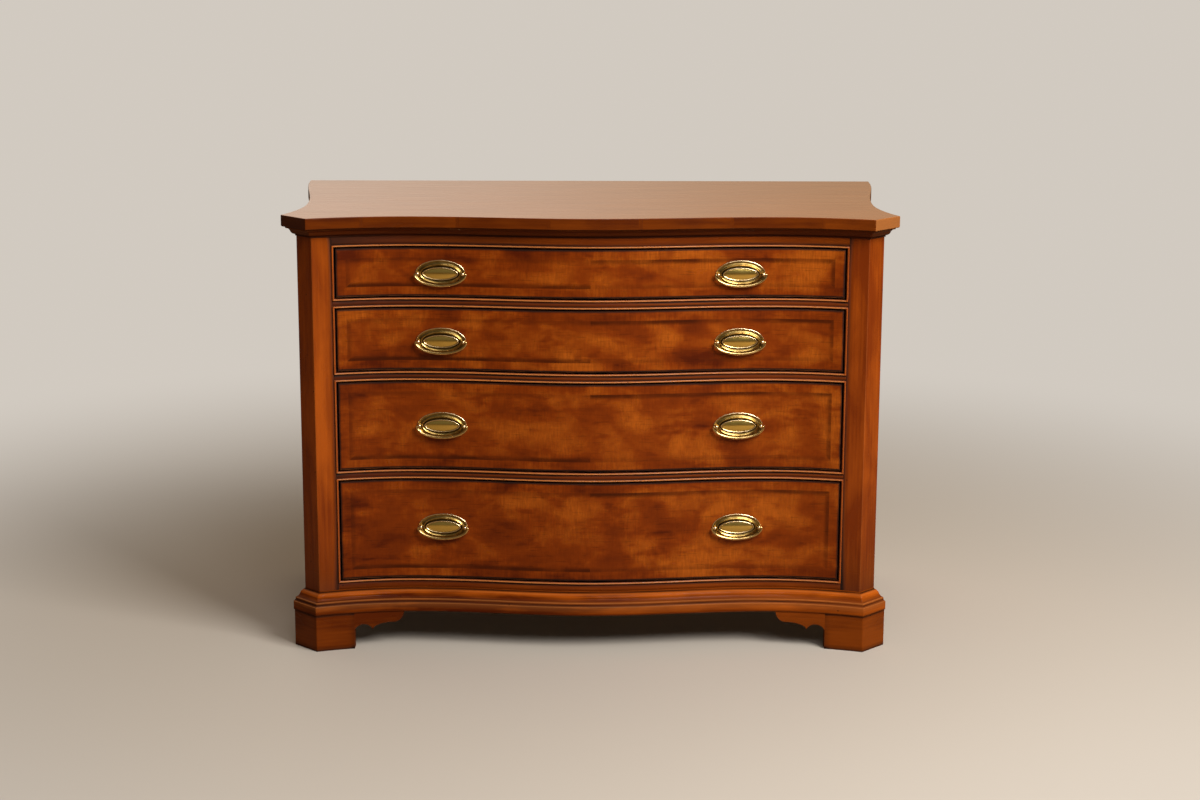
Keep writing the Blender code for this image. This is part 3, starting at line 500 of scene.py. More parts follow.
def makeVeneer():
    # drawer veneer on (x, height above the low edge, full height): a mottled field inside a crossband
    look = veneerLook
    material, tree, shader = newMaterial("figuredVeneer", look["roughness"], look["specular"])
    x, up, tall = readMarks(tree, "place")
    where = combine(tree, x, up)
    seed = times(tree, tall, look["seedStep"])
    field = useGroup(tree, mottledVeneer, Place=where, Seed=seed)
    fromEnd = take(tree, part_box("drawer_1_front")[1].x, math2(tree, "ABSOLUTE", x))
    fromTop = take(tree, tall, up)
    fromLong = math2(tree, "MINIMUM", up, fromTop)
    inward = math2(tree, "MINIMUM", fromEnd, fromLong)
    atEnd = math2(tree, "LESS_THAN", fromEnd, fromLong)
    nearTop = math2(tree, "LESS_THAN", fromTop, up)
    onRight = math2(tree, "GREATER_THAN", x, 0.0)
    # crossband: pieced, with its grain square to the edge, paler at the ends and low on the left
    turned = put(tree, "ShaderNodeMix", {0: atEnd, 4: combine(tree, up, x), 5: where}, data_type="VECTOR")
    bandGrain = useGroup(tree, timberGrain, Along=turned.outputs[1], Seed=seed)
    pieces = noise(tree, where, (9, 1, 1), seed, 0.0)
    missed = math2(tree, "ABSOLUTE", take(tree, nearTop, onRight))
    favoured = times(tree, take(tree, 1.0, missed), take(tree, 1.0, atEnd))
    lowLeft = times(tree, favoured, take(tree, 1.0, onRight))
    lift = add(tree, smooth(tree, pieces, *look["bandPieces"]), times(tree, atEnd, look["endLift"]))
    lift = add(tree, lift, times(tree, take(tree, bandGrain["Streak"], 0.5), look["grainLift"]))
    lift = add(tree, lift, times(tree, lowLeft, look["lowLeftLift"]))
    inBand = smooth(tree, inward, look["band"] - look["seamOut"], look["band"] + look["seamIn"], 1.0, 0.0)
    share = add(tree, field["Blotch"], times(tree, lift, inBand))
    # brighter towards the right, partly painted light from the right; dimmer round the edges and along the
    # foot; painted shade dims the taller, lower drawers
    share = add(tree, share, smooth(tree, x, *look["toRight"]))
    share = take(tree, share, smooth(tree, inward, *look["nearEdge"]))
    share = take(tree, share, smooth(tree, up, *look["nearFoot"]))
    share = take(tree, share, smooth(tree, tall, *look["onTall"]), clamp=True)
    ramp = put(tree, "ShaderNodeValToRGB", {0: share})
    stops = ramp.color_ramp.elements
    stops[0].color = (*look["dark"], 1)
    stops[1].color = (*look["light"], 1)
    stops.new(0.5).color = (*look["middle"], 1)
    # dark line inside the band: crisp outside, soft inside, strongest low on the left and high on the right
    inside = take(tree, inward, look["band"])
    longShare = take(tree, look["lineLong"], times(tree, missed, look["lineMissed"]))
    endShare = add(tree, look["lineEnd"], times(tree, onRight, look["lineRight"]))
    strength = put(tree, "ShaderNodeMix", {0: atEnd, 2: longShare, 3: endShare}).outputs[0]
    fade = noise(tree, where, (9, 40, 1), add(tree, seed, 2.0), 2.0)
    strength = times(tree, strength, smooth(tree, fade, *look["lineFade"]))
    line = times(tree, smooth(tree, inside, *look["lineSoft"]), smooth(tree, inside, *look["lineCrisp"]))
    colour = mixColour(tree, times(tree, line, strength), ramp.outputs[0], look["shade"])
    # curl, hairs, and painted shade in the gaps at the edges, under the bead above and over the bead below
    gain = add(tree, times(tree, field["Curl"], look["curl"]), 1.0)
    gain = take(tree, gain, times(tree, field["Hair"], look["hair"]))
    colour = mixColour(tree, 1.0, colour, combine(tree, gain, gain, gain), "MULTIPLY")
    ragged = add(tree, inward, times(tree, field["Blotch"], look["uneven"]))
    rim = smooth(tree, ragged, *look["rim"])
    rim = larger(tree, rim, smooth(tree, fromTop, *look["rimTop"]))
    rim = larger(tree, rim, smooth(tree, up, *look["rimFoot"]))
    colour = mixColour(tree, rim, colour, look["glazeAndShade"])
    rough = varied(tree, field["Blotch"], look["roughness"], 0.05, 0.03)
    rough = larger(tree, rough, smooth(tree, rim, 0.0, 0.8, 0.0, look["matt"]))
    connect(tree, shader, colour, rough, field["Hair"], 0.05)
    return material


figuredVeneer = makeVeneer()

sideLook = dict(light=(0.32, 0.070, 0.0065), dark=(0.135, 0.0215, 0.0020), roughness=0.31, specular=0.22)


def makePanelVeneer():
    # side panels: upright grain with a little mottle
    material, tree, shader = newMaterial("sideVeneer", sideLook["roughness"], sideLook["specular"])
    along = readGrain(tree)
    figure = useGroup(tree, timberGrain, Along=along, Seed=31.0)
    field = useGroup(tree, mottledVeneer, Place=along, Seed=32.0)
    share = blend(tree, figure["Streak"], 0.4, field["Blotch"], 0.6)
    colour = mixColour(tree, share, sideLook["dark"], sideLook["light"])
    colour = mixColour(tree, readMarks(tree)[0], colour, woodLook["glazeAndShade"])
    rough = varied(tree, figure["Cloud"], sideLook["roughness"], 0.04, 0.04)
    connect(tree, shader, colour, rough, figure["Streak"], 0.06)
    return material


sideVeneer = makePanelVeneer()

# inside woods: light, dark, seed, turn of the grain, roughness
quarterTurn = math.pi / 2
alongX, alongY, upright = (0, 0, 0), (0, 0, quarterTurn), (0, quarterTurn, 0)
insideLook = dict(
    drawerSideWood=((0.60, 0.43, 0.25), (0.43, 0.28, 0.14), 41.0, alongY, 0.52),
    drawerBackWood=((0.58, 0.41, 0.24), (0.42, 0.27, 0.14), 43.0, alongX, 0.52),
    drawerBottomWood=((0.50, 0.35, 0.20), (0.38, 0.25, 0.13), 47.0, alongX, 0.6),
    dustWood=((0.40, 0.27, 0.15), (0.29, 0.18, 0.09), 53.0, alongX, 0.66),
    backWood=((0.36, 0.23, 0.12), (0.25, 0.15, 0.07), 59.0, upright, 0.66),
    coreWood=((0.26, 0.085, 0.022), (0.15, 0.045, 0.011), 61.0, alongX, 0.45),
)


def makePlainWood(name, light, dark, seed, turn, roughness):
    # unpolished inside wood on object coordinates, turned so that its grain runs along one axis
    material, tree, shader = newMaterial(name, roughness, 0.25)
    along = put(tree, "ShaderNodeMapping", {"Vector": objectPlace(tree), "Rotation": turn}).outputs[0]
    figure = useGroup(tree, timberGrain, Along=along, Seed=seed)
    share = blend(tree, figure["Streak"], 0.6, figure["Cloud"], 0.4)
    colour = mixColour(tree, share, dark, light)
    colour = mixColour(tree, times(tree, figure["Pore"], 0.4), colour, tuple(c * 0.6 for c in dark))
    rough = varied(tree, figure["Streak"], roughness, 0.08, 0.06)
    connect(tree, shader, colour, rough, figure["Pore"], 0.12, 0.0003)
    return material


insideWoods = {name: makePlainWood(name, *look) for name, look in insideLook.items()}

brassLook = dict(
    bright=(0.84, 0.56, 0.18), mellow=(0.47, 0.295, 0.07), hollow=(0.020, 0.010, 0.002),
    rubbedAndLit=(1.0, 0.80, 0.49), golden=(0.98, 0.74, 0.20),
    roughness=0.20, coat=0.3, coatRoughness=0.18, cloud=(90, 90, 90), scratch=(900, 900, 260),
)


def makeBrass():
    # polished brass, mellow in soft patches; the toning marks black hollows, rubbed crests that carry painted
    # highlights, the golden dome
    material, tree, shader = newMaterial("brass", brassLook["roughness"], 0.5)
    shader.inputs["Metallic"].default_value = 1.0
    shader.inputs["Coat Roughness"].default_value = brassLook["coatRoughness"]
    where = objectPlace(tree)
    hollow, rubbedAndLit, golden = readMarks(tree)
    tree.links.new(smooth(tree, hollow, 0.0, 1.0, brassLook["coat"], 0.0), shader.inputs["Coat Weight"])
    cloud = smooth(tree, noise(tree, where, brassLook["cloud"], 270.0), 0.35, 0.65)
    tarnish = add(tree, times(tree, cloud, 0.35), hollow, clamp=True)
    colour = mixColour(tree, cloud, brassLook["bright"], brassLook["mellow"])
    colour = mixColour(tree, hollow, colour, brassLook["hollow"])
    colour = mixColour(tree, rubbedAndLit, colour, brassLook["rubbedAndLit"])
    colour = mixColour(tree, golden, colour, brassLook["golden"])
    rough = varied(tree, tarnish, brassLook["roughness"], -0.02, -0.14)
    scratch = noise(tree, where, brassLook["scratch"], 5.0, 2.0)
    connect(tree, shader, colour, rough, scratch, 0.01, 0.00003)
    return material


brass = makeBrass()
print("materials made:", len(bpy.data.materials))

# grain of the mouldings: each stretch of the plan is a board of its own shade, with a dip left of the middle
boards = dict(seed=5, shade=0.12, shift=3.1, dipAt=-0.12, dipSpread=0.22)


def carryProfile(profile, lean=0.0, dip=0.0, bright=0.0):
    # a profile of (inset, height, glaze and painted shade, wear and painted highlight) carried round the
    # sides and front: a patch and two end rings
    profile = np.array(profile)
    rows = [planPath(inset, backDepth) for inset in profile[:, 0]]
    points = np.stack([place3(path, z) for (path, _), z in zip(rows, profile[:, 1])])
    middle, run = rows[len(rows) // 2]
    uv = spread(lengths(middle) + boards["shift"] * run, lengths(profile[:, :2])[:, None])
    board = np.random.default_rng(boards["seed"]).uniform(-boards["shade"], boards["shade"], 7)
    x = points[..., 0]
    dimmed = dip * np.exp(-((x - boards["dipAt"]) / boards["dipSpread"]) ** 2)
    # lean and bright add painted light, lighter towards the right and on the upper round
    shade = board[(run + 3).astype(int)] + lean * x - dimmed + bright
    tone = toning(points, profile[:, 2, None], profile[:, 3, None], shade)
    return patch(points, uv, tone), [flatCap(points[:, end], (0, 2)) for end in (0, -1)]


# the edge of the top is banded with short lengths, each of its own shade; lean and the cants add painted
# light and shade
topBoard = dict(
    ease=0.0012, round=0.0015, support=0.004, under=0.06, drop=0.001, arris=0.0007, skin=0.0005, level=0.9,
    lean=0.55, litCant=0.5, shadedCant=0.4, lowerShade=0.35, upperWearAndHighlight=0.05,
    bandLength=0.172, bandSeed=8, bandShade=(-0.42, 0.26), bandShift=2.3,
)


def makeTopBoard():
    # edge profile from the underside up: eased lower arris, flat edge, rounded upper arris, then the flat top
    ease, rounded, support = topBoard["ease"], topBoard["round"], topBoard["support"]
    low, high = topLow.z - topBoard["drop"], topHigh.z
    start = [(topBoard["under"], low), (support, low), (ease, low)]
    lower = profileArc((ease, low), (0, low + ease), False, 4)
    edge = np.linspace((0, low + ease), (0, high - rounded), 5)[1:]
    upper = profileArc((0, high - rounded), (rounded, high), False, 7)
    profile = np.concatenate([start, lower, edge, upper, [(rounded + support, high)]])
    rows = [planPath(inset, fullDepth - inset, topBoard["arris"], closed=True) for inset in profile[:, 0]]
    points = np.stack([place3(path, z) for (path, _), z in zip(rows, profile[:, 1])])
    along, run = lengths(rows[4][0]), rows[0][1]
    band = np.floor(along / topBoard["bandLength"]).astype(int)
    shade = np.random.default_rng(topBoard["bandSeed"]).uniform(*topBoard["bandShade"], band.max() + 1)[band]
    uv = spread(along + topBoard["bandShift"] * band, lengths(profile)[:, None])
    # painted light: the edge lighter towards the right; painted shade under the lower arris; wear with a
    # painted highlight on the upper arris; painted light on the right cant, painted shade on the left cant
    tone = toning(points, shade=shade + topBoard["lean"] * points[..., 0])
    tone[3:6, :, 0] = topBoard["lowerShade"]
    tone[-6:-2, :, 1] = topBoard["upperWearAndHighlight"]
    tone[:, run == 1, 1] = topBoard["litCant"]
    tone[:, run == -1, 0] = topBoard["shadedCant"]
    caps = [flatCap(points[row, :-1]) for row in (0, -1)]
    mesh = makePiece("top_edge", [patch(points, uv, tone)], edgeWood, caps, replaces=["top_board"]).data
    mesh.materials.append(topWood)
    normals, centres = np.empty((2, len(mesh.polygons) * 3))
    mesh.polygons.foreach_get("normal", normals)
    mesh.polygons.foreach_get("center", centres)
    onTop = (normals[2::3] > topBoard["level"]) & (centres[2::3] > high - topBoard["skin"])
    mesh.polygons.foreach_set("material_index", onTop.astype(np.int32))


bedMoulding = dict(
    overhang=0.0065, fillet=0.003, step=0.002, foot=0.002, back=0.0003, ease=0.0004, fullness=0.6,
    glazeAndShade=(0.85, 0.15, 0.30, 0.45, 1.0),
)


def makeBedMoulding():
    # from the top down: fillet, step, ogee, step, small fillet, and a flat back against the carcass
    overhang, step, fillet = bedMoulding["overhang"], bedMoulding["step"], bedMoulding["fillet"]
    back, ease, glazeAndShade = bedMoulding["back"], bedMoulding["ease"], bedMoulding["glazeAndShade"]
    top = topLow.z - topBoard["drop"] - back
    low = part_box("bed_moulding")[0].z
    foot, rear = carcassFace - bedMoulding["foot"], carcassFace - back
    start, end = (overhang + step, top - fillet), (foot - step, low + fillet)
    curve = np.concatenate(ogee(start, end, (8, 8), bedMoulding["fullness"]))
    # the glaze values are painted shade under the overhanging top
    shade = np.interp(np.linspace(0, 1, len(curve)), np.linspace(0, 1, len(glazeAndShade)), glazeAndShade)
    profile = [(overhang, top, 0.8, 0), (overhang, start[1] + ease, 0.05, 0.12)]
    profile += [(overhang + ease, start[1], 0.05, 0.12), (*start, 0.9, 0)]
    profile += [(*point, dark, 0) for point, dark in zip(curve, shade)]
    profile += [(foot - ease, end[1], 0.9, 0), (foot, end[1] - ease, 0.7, 0), (foot, low, 0.95, 0)]
    profile += [(rear, low, 0.9, 0), (rear, top, 0.9, 0), profile[0]]
    body, ends = carryProfile(profile)
    makePiece("bed_moulding_fine", [body], shadedBedWood, ends, replaces=["bed_moulding"])


# the crest values are a painted highlight and the ledge values painted shade against the carcass, row by row
# up the round
baseMoulding = dict(
    fascia=0.0165, fillet=0.004, step=0.0035, ledge=0.001, wall=0.020, ease=0.0006, fullness=0.6,
    drop=0.0018, sink=0.0028, seat=0.0002, lean=0.55, dip=0.34, upperDip=0.03, crown=0.22, lowerCrown=-0.04,
    crestHighlight=(0, 0, 0, 0.04, 0.08, 0.14, 0.14, 0.06, 0, 0),
    ledgeShade=(0, 0, 0, 0, 0, 0, 0.05, 0.30, 0.60, 0.80),
)


def makeBaseMoulding():
    # from the floor side up: fascia, eased arris, step, fillet, hollow, round, ledge, short upright
    low, top = (corner.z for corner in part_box("base_moulding"))
    low -= baseMoulding["drop"]
    inset, ease = plan["baseInset"], baseMoulding["ease"]
    fasciaTop = low + baseMoulding["fascia"]
    fillet = inset + baseMoulding["step"]
    stepTop = fasciaTop + baseMoulding["step"]
    start = (fillet, stepTop + baseMoulding["fillet"])
    end = (carcassFace - baseMoulding["ledge"], top - baseMoulding["sink"])
    wall, inner = carcassFace - baseMoulding["seat"], carcassFace + baseMoulding["wall"]
    hollow, rounded = ogee(start, end, (9, 11), baseMoulding["fullness"])
    # painted shade at the foot of the fascia, in the crease under the fillet and down the hollow; painted
    # highlights on the fascia arris and the fillet edge
    profile = [(inset, low, 0.85, 0), (inset, low + 2 * ease, 0.6, 0), (inset, low + 0.004, 0.1, 0)]
    profile += [(inset, fasciaTop - ease, 0, 0.2), (inset + ease / 2, fasciaTop, 0, 0.55)]
    profile += [(inset + 2 * ease, fasciaTop + ease / 2, 0.3, 0.2), (fillet - ease, stepTop - ease, 0.95, 0)]
    profile += [(fillet, stepTop, 0.9, 0), (fillet, start[1] - ease, 0, 0.3)]
    profile += [(fillet + ease / 2, start[1], 0.1, 0.45)]
    profile += [(*point, dark, 0) for point, dark in zip(hollow[1:], np.linspace(0.6, 0.1, len(hollow) - 1))]
    roundMarks = zip(rounded[:-1], baseMoulding["ledgeShade"], baseMoulding["crestHighlight"])
    profile += [(*point, dark, wearAndHighlight) for point, dark, wearAndHighlight in roundMarks]
    profile += [(*rounded[-1], 0.9, 0), (wall, end[1], 0.95, 0), (wall, top, 0.3, 0)]
    profile += [(inner, top, 0.9, 0), (inner, low, 0.9, 0), (inset, low, 0.75, 0)]
    heights = np.array([row[1] for row in profile])[:, None]
    # painted light: lean lighter towards the right, crown lighter on the upper round and lowerCrown a little
    # darker below it
    dip = np.where(heights < fasciaTop + ease, baseMoulding["dip"], baseMoulding["upperDip"])
    onRound = heights > (start[1] + end[1]) / 2
    bright = np.where(onRound, baseMoulding["crown"], baseMoulding["lowerCrown"])
    body, ends = carryProfile(profile, baseMoulding["lean"], dip, bright)
    makePiece("base_moulding_fine", [body], mouldingWood, ends, replaces=["base_moulding"])


makeTopBoard()
makeBedMoulding()
makeBaseMoulding()
print("top and mouldings made")

bead = dict(
    width=0.004, proud=0.003, root=0.014, points=11, grainStep=0.0012,
    glazeAndShade=1.55, shadeFall=0.61, wearAndHighlightPower=5, uprightWearAndHighlight=0.1,
)


def makeBeadFrame(number):
    # half round bead mitred round an opening: each profile point is a rectangle grown by its offset
    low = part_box("bottom_rail" if number == 4 else f"rail_{number}")[1].z
    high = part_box("top_rail" if number == 1 else f"rail_{number - 1}")[0].z
    angle = np.linspace(-np.pi / 2, np.pi / 2, bead["points"])
    width, root = bead["width"], -bead["root"]
    offset = np.concatenate([[0], width / 2 * (1 + np.sin(angle)), [width, 0]])[:, None]
    proud = np.concatenate([[root], bead["proud"] * np.cos(angle), [root, root]])[:, None]
    # shares of the half width and the height: along the foot, up the right, along the head, down the left
    along, rise = np.linspace(-1, 1, fineness["rail"]), np.linspace(0, 1, fineness["upright"])
    level, edge = np.zeros(len(along)), np.ones(len(rise))
    across = np.concatenate([along, edge[1:-1], -along, -edge[1:]])
    up = np.concatenate([level, rise[1:-1], level + 1, 1 - rise[1:]])
    z = low - offset + (high - low + 2 * offset) * up
    points = onFront(across * (openingHalf + offset), carcassFace - proud, z)
    line = points[bead["points"] // 2]
    climbs = np.abs(np.gradient(line[:, 2])) > np.abs(np.gradient(line[:, 0]))
    # painted shade darkening towards the bead's root; wear and a painted highlight on its crest, weaker on
    # the upright beads
    glazeAndShade = np.clip(bead["glazeAndShade"] - proud / (bead["shadeFall"] * bead["proud"]), 0, 1)
    wearAndHighlight = np.clip(proud / bead["proud"], 0, 1) ** bead["wearAndHighlightPower"]
    wearAndHighlight = wearAndHighlight * np.where(climbs, bead["uprightWearAndHighlight"], 1.0)
    uv = spread(lengths(line), np.arange(len(points))[:, None] * bead["grainStep"])
    makePiece(f"bead_frame_{number}", [patch(points, uv, toning(points, glazeAndShade, wearAndHighlight))], beadWood)


# darkening along each rail runs from its left end to its right; glaze and painted shade up its face from its
# foot, darkest in the quirks
railShape = dict(
    recess=0.0014, quirk=0.0022, soft=0.0001, lean=0.35, grainShift=70.0,
    beadedFoot=[1, 1, 0.7], plainFoot=[0.25, 0.25, 0.15], faceUp=[0.15, 0, 0.20, 0.95, 1, 1],
    along={
        "top_rail": (0.85, 0.45, 0.38, 0.05, 0.0, 0.0, 0.05),
        "bottom_rail": (0.5, 0.05, 0.05, 0.2, 0.0, 0.0, 0.45),
        "between": (0.82, 0.36, 0.2, 0.08, 0.12, 0.05, 0.25),
    },
)


def makeRail(name):
    # a rail whose face lies between bead quirks on the serpentine, with a straight back
    boxLow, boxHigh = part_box(name)
    low, high, quirk = boxLow.z, boxHigh.z, railShape["quirk"]
    beadBelow, beadAbove = name != "bottom_rail", name != "top_rail"
    x = np.linspace(boxLow.x, boxHigh.x, fineness["rail"])
    faceLow = low + (bead["width"] if beadBelow else 0)
    faceHigh = high - (bead["width"] if beadAbove else 0)
    face, deep, soft = carcassFace, carcassFace + railShape["recess"], carcassFace + railShape["soft"]
    inset = np.array([deep, deep, soft, face, face, face, soft, deep, deep])[:, None]
    z = [low, faceLow, faceLow + quirk, faceLow + 2.5 * quirk, (faceLow + faceHigh) / 2]
    z += [faceHigh - 2.5 * quirk, faceHigh - quirk, faceHigh, high]
    front = onFront(x, inset, np.array(z)[:, None])
    points = np.concatenate([front, spread(x, boxHigh.y, [[high], [low]]), front[:1]])
    glazeAndShade = railShape["beadedFoot" if beadBelow else "plainFoot"] + railShape["faceUp"] + [1, 1, 1]
    along = railShape["along"].get(name, railShape["along"]["between"])
    dark = np.interp(x, np.linspace(boxLow.x, boxHigh.x, len(along)), along)
    # lean is painted light, lighter towards the right
    tone = toning(points, np.maximum(np.array(glazeAndShade)[:, None], dark), shade=railShape["lean"] * x)
    uv = spread(x + railShape["grainShift"] * low, lengths(points[:, 0])[:, None])
    ends = [flatCap(points[:-1, end], (1, 2), (1, 0, 0)) for end in (0, -1)]
    makePiece(f"{name}_fine", [patch(points, uv, tone)], polishedWood, ends, replaces=[name])


for name in ("top_rail", "bottom_rail", "rail_1", "rail_2", "rail_3"):
    makeRail(name)
for number in drawers:
    makeBeadFrame(number)
print("rails and beads made")


def levels(node, piece):
    # heights of a piece's rows, closer together at its foot and head
    low, high = (corner.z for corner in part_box(node))
    middle = np.linspace(low + piece["rise"], high - piece["fall"], piece["rows"])
    return np.concatenate([low + np.array(piece["foot"]), middle, high - np.array(piece["head"])])


post = dict(
    foot=(0, 0.003, 0.007, 0.012, 0.020, 0.030), head=(0.012, 0.006, 0.002, 0), rise=0.05, fall=0.03, rows=12,
    ease=0.0014, wearAndHighlight=(0.10, 0.18, 0.10), grainShift=0.9, footShade=0.13, footPower=1.3, footShadeAmount=0.55,
    headShade=0.045, headShadeAmount=0.5, innerShade=0.011, innerPower=1.5, innerShadeAmount=0.9,
    crownAt=0.49, crownSpread=0.16, crownAcross=0.024, crownWidth=0.017,
    left=dict(face=-0.10, crown=0.60, cant=-0.10), right=dict(face=-0.34, crown=0.06, cant=-0.20),
)


def makeStile(label, side):
    # canted post: its plan outline carried straight up, darker at its foot, with painted shade under the bed
    # moulding at its head and beside the bead at its inner edge
    node, tint = f"{label}_stile", post[label]
    heights = levels(node, post)
    rear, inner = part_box(node)[1].y - frontY, openingHalf + bead["width"]
    path, run = halfPath(carcassFace, rear, post["ease"], inner)
    run = np.append(run, [2, 2])
    outline = np.concatenate([path, [(inner, rear), (inner, path[0, 1])]]) * (side, 1)
    across, z = lengths(outline), heights[:, None]
    points = place3(outline, z)
    foot = np.clip(1 - (z - heights[0]) / post["footShade"], 0, 1) ** post["footPower"] * post["footShadeAmount"]
    head = np.clip(1 - (heights[-1] - z) / post["headShade"], 0, 1) * post["headShadeAmount"]
    edge = np.clip(1 - across / post["innerShade"], 0, 1) ** post["innerPower"] * post["innerShadeAmount"]
    crown = np.exp(-((across - post["crownAcross"]) / post["crownWidth"]) ** 2)
    crown = crown * np.exp(-((z - post["crownAt"]) / post["crownSpread"]) ** 2)
    shade = np.where(run == 1, tint["cant"], tint["face"] + tint["crown"] * crown)
    # wear with a painted highlight along each arris
    wearAndHighlight = np.convolve(np.abs(np.diff(run, append=2)) > 0, post["wearAndHighlight"], "same")
    tone = toning(points, np.clip(foot + head + edge, 0, 1), wearAndHighlight, shade)
    uv = spread(z, across + post["grainShift"] * side)
    ends = [flatCap(points[row, :-1]) for row in (0, -1)]
    makePiece(f"{node}_fine", [patch(points, uv, tone)], postWood, ends, replaces=[node])


sidePanel = dict(
    foot=(0, 0.004, 0.010, 0.020), head=(0.012, 0.005, 0), rise=0.05, fall=0.05, rows=8,
    thickness=0.018, footShade=0.02, headShade=0.012, glazeAndShade=0.7,
)


def makeSidePanel(label, side):
    # ogee panel: outer and inner side lines carried straight up
    node = f"{label}_side_panel"
    heights = levels(node, sidePanel)
    depth = np.linspace(*(corner.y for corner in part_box(node)), fineness["panel"]) - frontY
    outer = sideLine(depth, carcassFace)
    inner = outer[::-1] - (sidePanel["thickness"], 0)
    outline = np.concatenate([outer, inner, outer[:1]]) * (side, 1)
    z = heights[:, None]
    points = place3(outline, z)
    # darker along the foot and under the top
    foot = np.clip(1 - (z - heights[0]) / sidePanel["footShade"], 0, 1)
    head = np.clip(1 - (heights[-1] - z) / sidePanel["headShade"], 0, 1)
    tone = toning(points, (foot + head) * sidePanel["glazeAndShade"])
    ends = [flatCap(points[row, :-1]) for row in (0, -1)]
    body = patch(points, spread(z, lengths(outline)), tone)
    makePiece(f"{node}_fine", [body], sideVeneer, ends, replaces=[node])


bracket = dict(
    wall=0.022, front=0.071, side=0.060, rear=0.075, rearWing=0.120, ease=0.0014,
    drop=0.0365, coveWidth=0.0347, coveRise=0.0113, sweepWidth=0.0408, sweepRise=0.014, lipWidth=0.019,
    lean=0.24, wingLift=0.16, wingLean=0.50, edge=0.35, edgeSpread=0.008, rise=0.22,
    innerShadeAmount=(0.9, 0, 0), underShade=(0.6, 0, 0), riserShade=(0.5, 0, 0), wingShadeAmount=0.22, headShadeAmount=0.8,
    soleRows=(0, 0.002, 0.005), legFoot=0.010, legHead=0.007, headRow=0.0045, headShade=0.006,
    soleShade=0.009, soleShadeAmount=0.9, wingShift=5.0,
)


def bracketLine(top):
    # lower edge of a wing as (run, height): an arched cove down to a cusp, a rising sweep, a lip to the base
    spring = top - bracket["drop"]
    chord, rise = bracket["coveWidth"] / 2, bracket["coveRise"]
    radius = (chord ** 2 + rise ** 2) / (2 * rise)
    angle = np.linspace(-1, 1, 19) * math.asin(chord / radius)
    cove = np.stack([chord + radius * np.sin(angle), spring + rise - radius + radius * np.cos(angle)], 1)
    flat = (bracket["coveWidth"] + bracket["sweepWidth"], spring + bracket["sweepRise"])
    tip = (flat[0] + bracket["lipWidth"], top)
    sweep = profileArc((bracket["coveWidth"], spring), flat, False, 14)
    return np.concatenate([cove, sweep, profileArc(flat, tip, True, 12)])


def wingPatches(outer, inner, top, lean):
    # a wing between its lower line and the base: outer and inner walls, underside, riser beside the foot
    t = np.append(np.linspace(0, 0.88, 5), [0.94, 1])[:, None]
    line = bracketLine(top)[:, 1]
    heights = line + t * (top - line)
    walls = [place3(wall, heights) for wall in (outer, inner)]
    uv = spread(lengths(outer) + bracket["wingShift"], heights)
    # painted shade towards the wing's lower edge and under the base moulding at its head; the inner wall,
    # underside and riser are painted dark as shade
    glazeAndShade = bracket["wingShadeAmount"] * (1 - t) ** 2 + bracket["headShadeAmount"] * (t > 0.91)
    under = np.stack([walls[0][0], walls[1][0]])
    riser = np.stack([np.linspace((*wall[0, 0, :2], 0), wall[0, 0], 6) for wall in walls])
    tone = toning(walls[0], glazeAndShade, shade=lean)
    return [patch(walls[0], uv, tone), patch(walls[1], uv, bracket["innerShadeAmount"]),
            patch(under, tone=bracket["underShade"]), patch(riser, tone=bracket["riserShade"])]


def bodyPatches(outer, inner, top, lean):
    # the full height part of a foot: outer and inner walls and the sole
    spring = top - bracket["drop"]
    lower = np.append(bracket["soleRows"], np.linspace(bracket["legFoot"], spring, 5))
    leg = np.linspace(spring, top - bracket["legHead"], 7)[1:]
    upper = np.append(leg, [top - bracket["headRow"], top])
    z, run = np.append(lower, upper)[:, None], lengths(outer)
    walls = [place3(wall, z) for wall in (outer, inner)]
    # painted shade near the floor and under the base moulding; darker at the edge next to the wing; lighter
    # towards the top
    glazeAndShade = np.clip(1 - z / bracket["soleShade"], 0, 1) * bracket["soleShadeAmount"]
    glazeAndShade = glazeAndShade + bracket["headShadeAmount"] * (z > top - bracket["headShade"])
    glazeAndShade = glazeAndShade + bracket["edge"] * np.exp(-(run / bracket["edgeSpread"]) ** 2)
    tone = toning(walls[0], glazeAndShade, shade=lean + bracket["rise"] * (z / top - 0.5))
    uv = spread(run, z)
    return [patch(walls[0], uv, tone), patch(walls[1], uv, bracket["innerShadeAmount"]),
            patch(np.stack([walls[0][0], walls[1][0]]))]


def makeFoot(node, lines, kinds, leans, extra=()):
    # a foot from its outer and inner plan lines, each a wing or the full height part, closed along the top
    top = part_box(node)[1].z
    patches, lids = [], []
    for outer, inner, kind, lean in zip(*lines, kinds, leans):
        patches += kind(outer, inner, top, lean)
        lids.append(patch(np.stack([place3(outer, top), place3(inner, top)])))
    makePiece(f"{node}_fine", [*patches, *lids, *extra], footWood, replaces=[node])


def makeFrontFoot(label, side):
    # bracket foot: a front wing, the canted corner and a side wing
    node, outside = f"front_{label}_foot", plan["footInset"]
    run = bracketLine(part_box(node)[1].z)[:, 0]
    first, second = cornerPoints(outside)
    frontStart, sideStart = first[0] - bracket["front"], second[1] + bracket["side"]
    lines = []
    for inset in (outside, outside + bracket["wall"]):
        body, _ = halfPath(inset, sideStart, bracket["ease"], frontStart)
        parts = (frontLine(frontStart - run, inset), body, sideLine(sideStart + run, inset))
        lines.append([part * (side, 1) for part in parts])
    lean, wingLean = bracket["lean"] * side, bracket["wingLift"] + bracket["wingLean"] * side
    makeFoot(node, lines, (wingPatches, bodyPatches, wingPatches), (wingLean, lean, lean))


